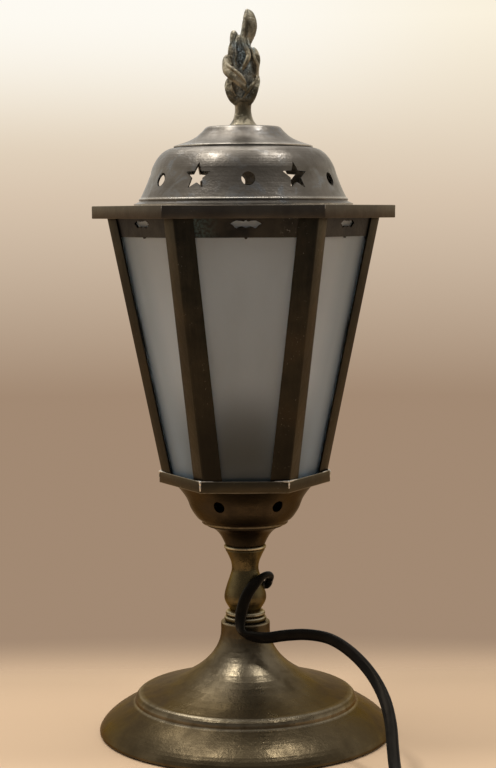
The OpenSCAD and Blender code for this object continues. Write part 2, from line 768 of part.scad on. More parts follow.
lug_r = head_hole_r - lug_gap;
module roof_lugs() {
    color(brass_dark) for (i = [0 : 2]) rotate([0, 0, 120 * i + 90 - lug_half])
        translate([0, 0, eaves_z - lug_l]) rotate_extrude(angle = 2 * lug_half)
            translate([lug_r - lug_t, 0]) square([lug_t, lug_l]);
}

bead_foot = roof_z + bead_h;
shoulder_z = roof_z + shoulder_h;
dome_line = concat(
    [[stud_r + stud_gap, crown_z], [crown_r, crown_z]],
    bezier([crown_r + 1.5, crown_z - 0.2],
        [mix(crown_r, shoulder_r, 0.62), crown_z - 0.5],
        [mix(crown_r, shoulder_r, 0.88), mix(shoulder_z, crown_z, 0.35)],
        [shoulder_r, shoulder_z], 10),
    bezier([mix(shoulder_r, bead_r, 0.06), mix(shoulder_z, bead_foot, 0.08)],
        [mix(shoulder_r, bead_r, 0.28), mix(shoulder_z, bead_foot, 0.36)],
        [mix(shoulder_r, bead_r, 0.58), mix(shoulder_z, bead_foot, 0.68)],
        [bead_r, bead_foot], 6),
    arc([bead_r + 0.1, bead_foot - 0.8], 0.8, 70, -50, 4),
    bezier([bead_r + 0.6, bead_foot - 1.7],
        [mix(bead_r, dome_foot_r, 0.4), roof_z + 0.42 * bead_h],
        [mix(bead_r, dome_foot_r, 0.7), roof_z + mix(dome_wall, bead_h, 0.1)],
        [dome_foot_r, roof_z + dome_wall], 4),
    [[dome_foot_r, roof_z]]);

module star() {
    polygon([for (i = [0 : 9]) let (r = i % 2 == 0 ? star_r : star_inner_r)
        r * [cos(90 + 36 * i), sin(90 + 36 * i)]]);
}

module dome() {
    color(brass_roof) difference() {
        spun(dome_line, dome_wall);
        for (i = [0 : 5]) {
            rotate([0, 0, -60 + star_turn + 60 * i]) translate([bead_r / 2, 0, roof_z + star_h])
                rotate([90, 0, 90]) linear_extrude(bead_r) star();
            rotate([0, 0, -90 + vent_turn + 60 * i]) translate([bead_r / 2, 0, roof_z + vent_h])
                rotate([0, 90, 0]) cylinder(r = vent_r, h = bead_r);
        }
    }
}

cap_line = concat(
    [[stud_r + stud_gap, cap_z], [cap_top_r - 1.6, cap_z]],
    bezier([cap_top_r - 0.6, cap_z - 0.1], [cap_top_r + 0.7, cap_z - 0.4],
        [cap_top_r + 1.2, cap_z - 1.6], [cap_top_r + 2.6, cap_z - 3], 5),
    bezier([mix(cap_top_r, cap_lip_r, 0.2), mix(crown_z, cap_z, 0.66)],
        [mix(cap_top_r, cap_lip_r, 0.34), mix(crown_z, cap_z, 0.42)],
        [mix(cap_top_r, cap_lip_r, 0.62), crown_z + cap_lip_h + 1.6],
        [cap_lip_r - 0.6, crown_z + cap_lip_h], 8),
    [[cap_lip_r, crown_z + cap_lip_h - 0.3], [cap_lip_r, crown_z]]);

module roof_cap() {
    color(brass_roof) spun(cap_line, cap_wall);
}

module finial_stud() {
    stud_low = crown_z - dome_wall - roof_nut_t - 3;
    color([0.62, 0.62, 0.60]) translate([0, 0, stud_low])
        cylinder(r = stud_r, h = cap_z + stud_grip - stud_low);
}

module roof_nut() {
    washer_low = crown_z - dome_wall - washer_t;
    color(brass_old) {
        translate([0, 0, washer_low]) washer(roof_washer_r, washer_t, stud_r + stud_gap);
        translate([0, 0, washer_low - roof_nut_t])
            hex_nut(roof_nut_flats, roof_nut_t, stud_r + stud_gap);
    }
}

// One tongue of the flame: blobs [x, y, z, half width, half depth] joined one to the next.
// Heights count from the flame's foot to its tip, and widths from its own axis, in parts of
// the flame's height.
flame_z = cap_z + finial_neck_h;
flame_h = finial_h - finial_neck_h;
module blob(b) {
    translate([b[0], b[1], b[2]] * flame_h / 50 + [0, 0, flame_z])
        scale([b[3], b[4], 1.2 * max(b[3], b[4])] * flame_h / 50) sphere(r = 1, $fn = 10);
}

module tongue(blobs) {
    for (i = [0 : len(blobs) - 2]) hull() {
        blob(blobs[i]);
        blob(blobs[i + 1]);
    }
}

module flame() {
    // twisted heart of the flame
    tongue([[0, 0, 0, 4.8, 4.6], [0, 0, 6, 7.4, 6.6], [0.4, 0.4, 13, 6.4, 6.2],
        [0.4, 0.6, 20, 5.6, 5.4], [-0.4, 0.6, 27, 4.6, 4.4], [-0.6, 0.4, 33, 3, 3.2]]);
    // tall leaf that leans right and ends in the tip
    tongue([[2.6, -3.4, 18, 1.6, 1.6], [2.8, -3.6, 23, 1.7, 1.6], [0.8, -2.2, 28, 1.8, 1.8],
        [2.2, -0.8, 33, 1.7, 2], [3.1, 0, 37.5, 3, 2], [3.9, 0.2, 41, 3.8, 2.1],
        [3.6, 0.2, 44.5, 3.2, 1.8], [2.5, 0, 47.6, 1.4, 1], [1.9, 0, 49.6, 0.4, 0.4]]);
    // second tip on the left
    tongue([[-3.6, -0.6, 14, 3, 3.2], [-4.8, -0.6, 21, 2.8, 2.6], [-5.2, -0.4, 28, 1.6, 1.8],
        [-5.2, -0.2, 33.5, 1.4, 1.4], [-4.6, 0, 37, 0.9, 0.9]]);
    // tongue on the right
    tongue([[6.2, 0.4, 12, 2.4, 3.2], [7, 0.6, 18, 2.3, 2.6], [7.2, 0.6, 22.5, 2.2, 2.2],
        [6.6, 0.4, 26, 1.6, 1.6], [5.6, 0.2, 28.4, 0.7, 0.8]]);
    // thick tongue that wraps from the left round the front
    tongue([[-7.4, 3, 24, 1.4, 1.6], [-9.4, 0, 20.4, 1.9, 2], [-8.8, -3.6, 17.2, 2.4, 2],
        [-5.6, -6, 14.8, 2.5, 1.9], [-2.4, -6.8, 12.2, 2.3, 1.8], [0.6, -6.6, 9, 1.8, 1.6],
        [2.4, -5.6, 6, 1, 1]]);
    // lower leaf on the left
    tongue([[-2.6, -2.4, -1.5, 2, 2], [-5.2, -3, 2.6, 3, 2.6], [-7, -2.6, 6.8, 3.1, 2.6],
        [-7.2, -1, 10.6, 2.2, 2]]);
    // lower leaf on the right
    tongue([[2.8, -2.2, -1.5, 2, 2], [5, -3, 2.4, 2.8, 2.6], [7, -2.6, 7, 2.6, 2.6],
        [8.4, -1, 11.4, 1.4, 1.8], [8.6, 0, 13.6, 0.6, 0.8]]);
    // leaves at the back
    tongue([[0, 3, 0, 2, 2], [-2, 6, 6, 3, 2.2], [-4.4, 6, 13, 2.6, 1.8],
        [-3.6, 4.8, 20, 1.8, 1.4], [-1, 3.6, 26, 0.8, 0.8]]);
    tongue([[2, 3, 2, 2, 2], [4, 5.4, 9, 2.6, 2.2], [3, 6, 17, 2.4, 1.8],
        [1.4, 4.6, 24, 1.8, 1.4], [2, 2.8, 31, 0.8, 0.8]]);
}

finial_line = concat([[finial_foot_r, cap_z], [finial_foot_r, cap_z + 1.2]],
    bezier([finial_foot_r - 0.5, cap_z + 1.9], [finial_neck_r + 0.8, cap_z + 2.6],
        [finial_neck_r, cap_z + 5], [finial_neck_r, cap_z + 8.4], 6),
    [[finial_neck_r + 0.7, cap_z + finial_neck_h]]);

// The cast flame, with its turned foot bored for the stud
module finial() {
    color(brass_dark) difference() {
        union() {
            rotate_extrude($fn = 32) polygon(concat([[0, cap_z]], finial_line,
                [[0, cap_z + finial_neck_h]]));
            flame();
        }
        translate([0, 0, cap_z - 1]) cylinder(r = stud_r + 0.1, h = stud_grip + 1.2, $fn = 32);
    }
}

// ---------------------------------------------------------------- flex

hole_dir = [cos(hole_turn), sin(hole_turn), 0];
hole_side = [sin(hole_turn), -cos(hole_turn), 0];
flex_start = hole_out * hole_dir + [0, 0, hole_z];

// The switch lies on the table in front of the base, in line with the flex
switch_at = [76, -166, 0];
switch_back = switch_at + [0, switch_l / 2, switch_low_h];
switch_front = switch_at + [0, -switch_l / 2, switch_low_h];

// The coil lies beside the switch, and its two ends leave it towards -X
coil_at = [14, -180, 0];
coil_pitch = flex_t + coil_gap;
coil_lift = tie_t + 0.1;
coil_out_r = coil_r + coil_pitch * coil_turns / 4;
coil_in_r = coil_r - coil_pitch * coil_turns / 4;
coil_end_l = 8;

// The plug lies beside the coil
plug_back = [-32, -224, plug_h / 2];

// Route of the free flex from the stem to the switch, and where its broad side points
lead_points = [[13.2, 1, 84.4], [13.6, -1.8, 87.4], [12.2, -5.6, 89.2],
    [8.8, -9.8, 88.6], [5, -12.6, 85.4], [1.4, -14.2, 80.6], [-1.2, -15, 74.4],
    [-2.6, -15.8, 68], [-2.8, -17, 63], [-1, -18.4, 59.4], [4.4, -18.6, 57.4],
    [12, -19, 56.8], [22, -21, 58.6], [34, -26, 60.2], [46.3, -34, 59.5], [57.4, -45, 54.4],
    [66.6, -58, 46.4], [72.4, -72, 37.3], [74.6, -86, 28], [74.6, -100, 19.4],
    [74.8, -112, 12.4], [75.8, -124, 8.6]];
lead_broad = [[0.2, -1, 0], [0, -1, 0.2], [0.3, -1, 0.3], [0.8, -0.6, 0.6], [0.9, -0.3, 0],
    [1, -0.1, 0], [1, 0, 0], [1, -0.3, 0], [0.7, -0.8, 0], [0.2, -1, 0.2], [0, -0.5, 1],
    [0, 0, 1], [0, 0, 1], [0, 0, 1], [0.2, 0, 1], [0.4, 0, 1], [0.7, 0, 0.7], [1, 0, 0.4],
    [1, 0, 0.2], [1, 0, 0], [1, 0, 0], [1, 0, 0]];
lead_path = concat([flex_start, flex_start + 1.8 * hole_dir], lead_points,
    [switch_back + [0, 4, 0], switch_back]);
lead_sides = concat([hole_side, hole_side], lead_broad, [[1, 0, 0], [1, 0, 0]]);

// From the switch round to the coil: the flex turns onto its edge
run_path = [switch_front, switch_front - [0, 5, 0.2], [75.4, -209, 6.2], [70.6, -214.6, 4.8],
    [62.8, -218.6, 4.2], [52, -219.8, 4.1], [38, -219.8, 4.1]];
run_sides = [[1, 0, 0], [1, 0, 0], [0.8, 0, 0.8], [0, 0, 1], [0, 0, 1], [0, 0, 1], [0, 0, 1]];

// From the coil's upper layer down to the plug
tail_points = [[-1, -220, 10.9], [-8, -221, 9.6], [-18, -223, 7.8]];
tail_sides = [[0, 0, 1], [0, 0, 1], [0, 0.4, 1], [0, 1, 0.6], [0, 1, 0], [0, 1, 0]];

// Sections of the flex: ten points round two round ends, and six for the coil's many turns
flex_rim = [for (i = [1, -1], a = [-90, -45, 0, 45, 90])
    i * [(flex_w - flex_t) / 2 + flex_t / 2 * cos(a), flex_t / 2 * sin(a)]];
coil_rim = [for (i = [1, -1]) each [i * [(flex_w - flex_t) / 2, -flex_t / 2],
    i * [flex_w / 2, 0], i * [(flex_w - flex_t) / 2, flex_t / 2]]];

function unit(v) = v / norm(v);
function tangent(p, i) = unit(at(p, i + 1) - at(p, i - 1));

// A tube swept along points, with the broad side of its section along the given directions.
// Its first and last rings stand square to the given end directions.
module ribbon(points, sides_at, rim, start, end) {
    n = len(points);
    m = len(rim);
    rings = [for (i = [0 : n - 1]) let (
        t = i == 0 ? start : i == n - 1 ? end : tangent(points, i),
        b = unit(sides_at[i] - (sides_at[i] * t) * t),
        s = cross(t, b)) [for (q = rim) points[i] + q[0] * b + q[1] * s]];
    polyhedron(points = [for (r = rings, p = r) p], convexity = 8, faces = concat(
        [[for (j = [0 : m - 1]) j]],
        [[for (j = [m - 1 : -1 : 0]) (n - 1) * m + j]],
        [for (i = [0 : n - 2], j = [0 : m - 1]) each [
            [i * m + j, (i + 1) * m + j, i * m + (j + 1) % m],
            [i * m + (j + 1) % m, (i + 1) * m + j, (i + 1) * m + (j + 1) % m]]]));
}

module flex_lead() {
    color([0.05, 0.05, 0.05])
        ribbon(curve(lead_path, 2), curve(lead_sides, 2), flex_rim, hole_dir, [0, -1, 0]);
}

// The stretch inside the lamp, from the bush up the tube to the lampholder
inner_bend = [[hole_out - bush_l - 0.3, 0], [4.4, 0.1], [2.6, 1], [1, 3.2], [0.2, 6.4],
    [0, 10], [0, tube_top_z - hole_z]];
module inner_flex() {
    route = [for (p = inner_bend) p[0] * hole_dir + [0, 0, hole_z + p[1]]];
    color([0.05, 0.05, 0.05])
        ribbon(route, [for (p = route) hole_side], flex_rim, -hole_dir, [0, 0, 1]);
}

// One layer spirals in, the flex climbs in the half turn where the spiral reverses, and the
// other layer spirals out above it
function climb(u) = let (x = min(1, max(0, 2 * u - coil_turns + 0.5))) x * x * (3 - 2 * x);
function coil_point(u) = let (
    r = coil_r + coil_pitch * (abs(u - coil_turns / 2) - coil_turns / 4),
    a = -90 - 360 * u)
    coil_at + [r * cos(a), r * sin(a),
        coil_lift + flex_w / 2 + climb(u) * (flex_w + coil_gap)];
coil_steps = 24;
coil_rings = [for (i = [0 : coil_steps * coil_turns]) coil_point(i / coil_steps)];
coil_path = concat([coil_rings[0] + [coil_end_l, 0, 0]], coil_rings,
    [last(coil_rings) - [coil_end_l, 0, 0]]);

// Distance between the skins of two upright places of the flex
function skin_gap(a, b) = let (d = a - b)
    norm([d[0], d[1], max(0, abs(d[2]) - flex_w + flex_t)]) - flex_t;
coil_least_gap = min([for (i = [0 : len(coil_path) - 1], j = [i + coil_steps / 2 : len(coil_path)
    - 1]) skin_gap(coil_path[i], coil_path[j])]);

module flex_coil() {
    echo(coil_least_gap = coil_least_gap);
    color([0.05, 0.05, 0.05])
        ribbon(coil_path, [for (p = coil_path) [0, 0, 1]], coil_rim, [-1, 0, 0], [-1, 0, 0]);
}

coil_start = coil_path[0];
coil_leave = last(coil_path);
module flex_run() {
    path = concat(run_path, [coil_start]);
    color([0.05, 0.05, 0.05])
        ribbon(curve(path, 2), curve(concat(run_sides, [[0, 0, 1]]), 2), flex_rim, [0, -1, 0],
            [-1, 0, 0]);
}

module flex_tail() {
    path = concat([coil_leave], tail_points, [plug_back + [5, 0, 0], plug_back]);
    color([0.05, 0.05, 0.05])
        ribbon(curve(path, 2), curve(tail_sides, 2), flex_rim, [-1, 0, 0], [-1, 0, 0]);
}

// Rectangle with round corners
module round_rect(l, w, r) {
    square([l - 2 * r, w], center = true);
    square([l, w - 2 * r], center = true);
    for (i = [-1, 1], j = [-1, 1]) translate([i * (l / 2 - r), j * (w / 2 - r)]) circle(r = r);
}

module coil_tie() {
    layer_h = 2 * flex_w + coil_gap;
    band = coil_out_r - coil_in_r + flex_t + 4 * 0.3;
    color([0.08, 0.08, 0.08]) translate(coil_at) rotate([0, 0, 100])
        translate([coil_r, tie_w / 2, coil_lift + layer_h / 2]) rotate([90, 0, 0])
            linear_extrude(tie_w) difference() {
                round_rect(band + 2 * tie_t, layer_h + 2 * coil_lift, 2);
                round_rect(band, layer_h + 0.2, 1.2);
            }
}

// ---------------------------------------------------------------- switch

module on_switch() {
    translate(switch_at) rotate([0, 0, -90]) children();
}

switch_h = switch_low_h + switch_top_h;
well_l = rocker_l + 2 * rocker_gap + 0.4;
well_w = rocker_w + 2 * rocker_gap;
well_floor = switch_low_h - 2;
pivot_z = switch_h - 3.4;
screw_spots = [[0.32 * switch_l, 0.28 * switch_w], [-0.32 * switch_l, -0.28 * switch_w]];

// Both halves together, with rounded ends and chamfered upper edges
module switch_form() {
    edge = 2.4;
    intersection() {
        linear_extrude(switch_h) round_rect(switch_l, switch_w, 9);
        translate([-switch_l, 0, 0]) rotate([90, 0, 90]) linear_extrude(2 * switch_l)
            polygon([[-switch_w / 2 + 1, 0], [switch_w / 2 - 1, 0], [switch_w / 2, 1],
                [switch_w / 2, switch_h - edge], [switch_w / 2 - edge, switch_h],
                [edge - switch_w / 2, switch_h], [-switch_w / 2, switch_h - edge],
                [-switch_w / 2, 1]]);
        translate([0, switch_w, 0]) rotate([90, 0, 0]) linear_extrude(2 * switch_w)
            polygon([[-switch_l / 2 + 1, 0], [switch_l / 2 - 1, 0], [switch_l / 2, 1],
                [switch_l / 2, switch_low_h + 3], [0.28 * switch_l, switch_h],
                [-0.28 * switch_l, switch_h], [-switch_l / 2, switch_low_h + 3],
                [-switch_l / 2, 1]]);
    }
}

module switch_cuts() {
    translate([-well_l / 2, -well_w / 2, well_floor]) cube([well_l, well_w, switch_h]);
    for (p = screw_spots) translate([p[0], p[1], -1]) {
        cylinder(r = 2.9, h = 1 + switch_wall + 0.4);
        cylinder(r = 1.5, h = 1 + switch_low_h + 4);
    }
}

module switch_base() {
    color([0.05, 0.05, 0.05]) on_switch() difference() {
        intersection() {
            switch_form();
            translate([-switch_l, -switch_w, 0]) cube([2 * switch_l, 2 * switch_w, switch_low_h]);
        }
        switch_cuts();
    }
}

module switch_cover() {
    color([0.05, 0.05, 0.05]) on_switch() difference() {
        intersection() {
            switch_form();
            translate([-switch_l, -switch_w, switch_low_h])
                cube([2 * switch_l, 2 * switch_w, switch_h]);
        }
        switch_cuts();
        translate([0, 0, pivot_z]) rotate([90, 0, 0])
            cylinder(r = pivot_r + 0.08, h = well_w + 3.4, center = true);
    }
}

// The rocker lies tipped towards the plug's end, where the lamp is off
module switch_rocker() {
    rise = switch_h + 1.2 - pivot_z;
    color([0.09, 0.09, 0.09]) on_switch() translate([0, 0, pivot_z])
        rotate([0, rocker_swing / 2, 0]) {
            rotate([90, 0, 0]) translate([0, 0, -rocker_w / 2]) linear_extrude(rocker_w)
                polygon(concat([[-rocker_l / 2 + 0.8, -2.6], [rocker_l / 2 - 0.8, -2.6]],
                    arc([rocker_l / 2 - 1.2, rise - 1], 1, 0, 100, 4),
                    [[0, rise - 1.3]],
                    arc([1.2 - rocker_l / 2, rise - 1], 1, 80, 180, 4)));
            rotate([90, 0, 0]) cylinder(r = pivot_r, h = well_w + 2.8, center = true);
        }
}

module switch_screws() {
    color([0.55, 0.55, 0.56]) on_switch() for (p = screw_spots)
        translate([p[0], p[1], 0.5]) {
            difference() {
                cylinder(r = 2.7, h = switch_wall - 0.1);
                translate([-2, -0.35, -0.5]) cube([4, 0.7, 1.1]);
            }
            cylinder(r = 1.4, h = switch_low_h + 2);
        }
}

// ---------------------------------------------------------------- plug

module on_plug() {
    translate(plug_back) rotate([0, 0, 180]) children();
}

module plug_body() {
    color([0.05, 0.05, 0.05]) on_plug() difference() {
        intersection() {
            translate([0, 0, -plug_h / 2]) linear_extrude(plug_h)
                polygon([[0, -5], [4, -6], [plug_l - 16, -plug_w / 2 + 2.5],
                    [plug_l - 11, -plug_w / 2], [plug_l - 1, -plug_w / 2],
                    [plug_l, 1 - plug_w / 2], [plug_l, plug_w / 2 - 1],
                    [plug_l - 1, plug_w / 2], [plug_l - 11, plug_w / 2],
                    [plug_l - 16, plug_w / 2 - 2.5], [4, 6], [0, 5]]);
            translate([0, plug_w, 0]) rotate([90, 0, 0]) linear_extrude(2 * plug_w)
                polygon([[0, -4], [6, -4.6], [plug_l - 10, -plug_h / 2], [plug_l - 1, -plug_h / 2],
                    [plug_l, 1 - plug_h / 2], [plug_l, plug_h / 2 - 1],
                    [plug_l - 1, plug_h / 2], [plug_l - 10, plug_h / 2], [6, 4.6], [0, 4]]);
        }
        for (i = [-1, 1]) translate([plug_l - 8, i * pin_pitch / 2, 0]) rotate([0, 90, 0])
            cylinder(r = pin_r - 0.3, h = 9);
    }
}

module plug_pins() {
    color([0.75, 0.74, 0.72]) on_plug() for (i = [-1, 1])
        translate([plug_l, i * pin_pitch / 2, 0]) rotate([0, 90, 0]) {
            translate([0, 0, -7.5]) cylinder(r = pin_r - 0.4, h = 8);
            cylinder(r = pin_r, h = pin_l - 0.6);
            translate([0, 0, pin_l - 0.6]) cylinder(r1 = pin_r, r2 = pin_r - 0.6, h = 0.6);
        }
}

felt_pad();
base_weight();
base_shell();
base_nut();
threaded_tube();
stem();
cord_bush();
neck();
gallery_cup();
lower_tray();
tray_nut();
corner_post(1);  // corner_post_1
corner_post(2);  // corner_post_2
corner_post(3);  // corner_post_3
corner_post(4);  // corner_post_4
corner_post(5);  // corner_post_5
corner_post(6);  // corner_post_6
frieze(1);  // frieze_1
frieze(2);  // frieze_2
frieze(3);  // frieze_3
frieze(4);  // frieze_4
frieze(5);  // frieze_5
frieze(6);  // frieze_6
glass_pane(1);  // glass_pane_1
glass_pane(2);  // glass_pane_2
glass_pane(3);  // glass_pane_3
glass_pane(4);  // glass_pane_4
glass_pane(5);  // glass_pane_5
glass_pane(6);  // glass_pane_6
pane_clips();
frame_head();
holder_shell();
holder_insulator();
holder_liner();
holder_contact();
lamp_cap();
lamp_bulb();
lamp_filament();
eaves();
roof_lugs();
dome();
roof_cap();
finial();
finial_stud();
roof_nut();
inner_flex();
flex_lead();
switch_base();
switch_cover();
switch_rocker();
switch_screws();
flex_run();
flex_coil();
coil_tie();
flex_tail();
plug_body();
plug_pins();
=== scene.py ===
"""Looks of the six-sided lantern table lamp: camera, flex, flame, solder and finishes."""

import json
import math
import random

import bpy
from mathutils import Matrix, Vector

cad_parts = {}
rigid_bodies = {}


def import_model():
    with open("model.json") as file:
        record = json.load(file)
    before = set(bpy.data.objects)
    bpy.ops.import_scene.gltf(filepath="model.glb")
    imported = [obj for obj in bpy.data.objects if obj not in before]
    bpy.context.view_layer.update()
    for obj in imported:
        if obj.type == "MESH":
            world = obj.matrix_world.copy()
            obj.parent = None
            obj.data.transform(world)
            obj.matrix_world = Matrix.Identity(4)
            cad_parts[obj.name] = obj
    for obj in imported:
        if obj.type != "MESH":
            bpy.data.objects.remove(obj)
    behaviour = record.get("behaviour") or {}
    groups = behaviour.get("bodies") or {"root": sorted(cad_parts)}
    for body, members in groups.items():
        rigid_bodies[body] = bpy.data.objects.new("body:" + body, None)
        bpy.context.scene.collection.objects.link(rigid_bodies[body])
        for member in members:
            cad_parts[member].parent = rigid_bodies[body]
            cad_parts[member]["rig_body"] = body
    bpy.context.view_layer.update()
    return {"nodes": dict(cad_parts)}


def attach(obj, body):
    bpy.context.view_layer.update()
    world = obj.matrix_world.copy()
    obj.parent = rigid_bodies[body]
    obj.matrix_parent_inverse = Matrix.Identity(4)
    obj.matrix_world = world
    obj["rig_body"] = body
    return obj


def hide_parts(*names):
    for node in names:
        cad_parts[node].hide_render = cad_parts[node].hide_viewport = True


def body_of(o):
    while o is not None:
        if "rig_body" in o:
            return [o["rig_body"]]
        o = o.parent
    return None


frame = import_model()

MM = 0.001
NODES = frame["nodes"]


# ---------------------------------------------------------------- camera and lamps

CAMERA_PLACE = (0.00204, -0.9726, 0.2887)
CAMERA_LENS = 82.73
# Degrees that the view dips below level, and that the picture leans
CAMERA_DIP = 5.48
CAMERA_LEAN = -0.26


def aim_camera():
    """The photograph's view: a long lens almost level with the lantern."""
    camera = bpy.data.objects.new("camera", bpy.data.cameras.new("camera"))
    bpy.context.scene.collection.objects.link(camera)
    camera.data.sensor_width = 36
    camera.data.lens = CAMERA_LENS
    camera.data.clip_start = 0.05
    camera.data.clip_end = 50
    tilt = Matrix.Rotation(math.radians(90 - CAMERA_DIP), 4, "X")
    roll = Matrix.Rotation(math.radians(CAMERA_LEAN), 4, "Z")
    camera.matrix_world = Matrix.Translation(CAMERA_PLACE) @ tilt @ roll
    bpy.context.scene.camera = camera


def soft_lamp(name, place, aim, size, watts, tint):
    """A square studio lamp that points at a spot."""
    lamp = bpy.data.lights.new(name, "AREA")
    lamp.shape = "SQUARE"
    lamp.size = size
    lamp.energy = watts
    lamp.color = tint
    holder = bpy.data.objects.new(name, lamp)
    bpy.context.scene.collection.objects.link(holder)
    holder.location = place
    holder.rotation_euler = (Vector(aim) - Vector(place)).to_track_quat("-Z", "Y").to_euler()


# ---------------------------------------------------------------- shader maths


# Share of the crests' lightening, from polish and painted highlight, that a crest keeps where the
# patches over it are dull
LEAST_CREST_LIGHT = 0.45


class Signal:
    """A value on its way through a finish: sums on it add Math nodes."""

    def __init__(self, finish, socket):
        self.finish = finish
        self.socket = socket

    def maths(self, operation, *values):
        """One Math node, with this value first."""
        settings = {"operation": operation}
        sockets = dict(enumerate((self,) + values))
        return self.finish.add("ShaderNodeMath", settings, sockets)

    def __add__(self, other):
        return self.maths("ADD", other)

    __radd__ = __add__

    def __sub__(self, other):
        return self.maths("SUBTRACT", other)

    def __rsub__(self, other):
        return self.maths("MULTIPLY", -1).maths("ADD", other)

    def __mul__(self, other):
        return self.maths("MULTIPLY", other)

    __rmul__ = __mul__

    def __truediv__(self, other):
        return self.maths("DIVIDE", other)

    def __pow__(self, other):
        return self.maths("POWER", other)

    def size(self):
        """The value without its sign."""
        return self.maths("ABSOLUTE")

    def clipped(self):
        """Kept from 0 to 1."""
        return self.maths("MAXIMUM", 0).maths("MINIMUM", 1)

    def between(self, low, high):
        """0 below low and 1 above high, with a soft change between them."""
        settings = {"interpolation_type": "SMOOTHSTEP"}
        sockets = {"Value": self, "From Min": low, "From Max": high}
        return self.finish.add("ShaderNodeMapRange", settings, sockets)


class Finish:
    """A procedural material. Its patterns sit on the object's own coordinates, in metres."""

    def __init__(self, name, tree=None):
        self.material = None
        if tree is None:
            self.material = bpy.data.materials.new(name)
            self.material.use_nodes = True
            tree = self.material.node_tree
        self.tree = tree
        self.tree.nodes.clear()

    def add(self, kind, settings=None, sockets=None, output=0):
        """A node of a kind: its settings first, then values or links for its sockets."""
        node = self.tree.nodes.new(kind)
        for name, value in (settings or {}).items():
            if name == "stops":
                self.set_stops(node.color_ramp, value)
            else:
                setattr(node, name, value)
        for name, value in (sockets or {}).items():
            self.plug(node.inputs[name], value)
        return Signal(self, node.outputs[output] if node.outputs else None)

    def plug(self, socket, value):
        """Links a value to a socket, or sets the socket where the value never varies."""
        if isinstance(value, Signal):
            self.tree.links.new(value.socket, socket)
        elif isinstance(value, tuple) and len(value) == 3 and socket.type == "RGBA":
            socket.default_value = (*value, 1)
        else:
            socket.default_value = value

    @staticmethod
    def set_stops(ramp, stops):
        while len(ramp.elements) < len(stops):
            ramp.elements.new(1)
        for element, (place, colour) in zip(ramp.elements, stops):
            element.position = place
            element.color = (*colour, 1)

    def place(self):
        return self.add("ShaderNodeTexCoord", output="Object")

    def stretched(self, place, scale):
        """Coordinates drawn out along the axes, so that a pattern turns into streaks."""
        return self.add("ShaderNodeMapping", None, {"Vector": place, "Scale": scale})

    def noise(self, place, scale, detail=3, roughness=0.55, distortion=0):
        """Cloudy pattern, with about as many swells to a metre as its scale."""
        sockets = {
            "Vector": place,
            "Scale": scale,
            "Detail": detail,
            "Roughness": roughness,
            "Distortion": distortion,
        }
        return self.add("ShaderNodeTexNoise", None, sockets)

    def mixed(self, factor, first, second):
        """A colour between two, by a factor."""
        sockets = {0: factor, 6: first, 7: second}
        return self.add("ShaderNodeMix", {"data_type": "RGBA"}, sockets, output=2)

    def axes(self, place):
        """The three coordinates."""
        node = self.add("ShaderNodeSeparateXYZ", None, {"Vector": place}).socket.node
        return tuple(Signal(self, socket) for socket in node.outputs)

    def joined(self, x, y, z):
        return self.add("ShaderNodeCombineXYZ", None, {"X": x, "Y": y, "Z": z})

    def bumped(self, *layers):
        """Relief from layers of height and depth in metres, one on top of the other."""
        normal = None
        for height, depth in layers:
            sockets = {"Height": height, "Distance": depth, "Strength": 1}
            if normal is not None:
                sockets["Normal"] = normal
            normal = self.add("ShaderNodeBump", None, sockets)
        return normal

    def crest_wear_and_sheen(self, z, crests, patches):
        """Where the crests are painted lighter, partly as polish from hands and partly as painted
        highlight: heights in mm, with reach and strength.
        """
        wear_and_sheen = 0
        for height, reach, strength in crests:
            wear_and_sheen = wear_and_sheen + (1 - (z - height * MM).size() / (reach * MM)).clipped() * strength
        return wear_and_sheen.clipped() * (LEAST_CREST_LIGHT + patches.between(0.3, 0.6) * (1 - LEAST_CREST_LIGHT))

    def surface(self, **sockets):
        """Ends the material in one Principled shader."""
        named = {name.replace("_", " "): value for name, value in sockets.items()}
        shader = self.add("ShaderNodeBsdfPrincipled", None, named)
        self.add("ShaderNodeOutputMaterial", None, {"Surface": shader})
        return self.material


def off_axis(x, y):
    """Distance from the lamp's axis."""
    return (x * x + y * y) ** 0.5


# ---------------------------------------------------------------- brass finishes

# Heights over which the posts' shade ends, in metres
POST_SHADE = (0.15, 0.26)
# Bloom and bare specks of the front frieze: their places along it and their reach, in metres
BLOOM_AT, BLOOM_REACH = -0.024, 0.012
SPECKS_AT, SPECKS_REACH = 0.028, 0.010
# The flame, in metres: radius where its hollows turn into ridges that are lighter partly from
# wear and partly as painted highlight, height where the painted highlight of its pale top leaf
# starts, and height where the pale turned foot ends
HOLLOW_TO_RIDGE = (0.0062, 0.0088)
TOP_LEAF = (0.378, 0.384)
TURNED_FOOT = (0.350, 0.353)


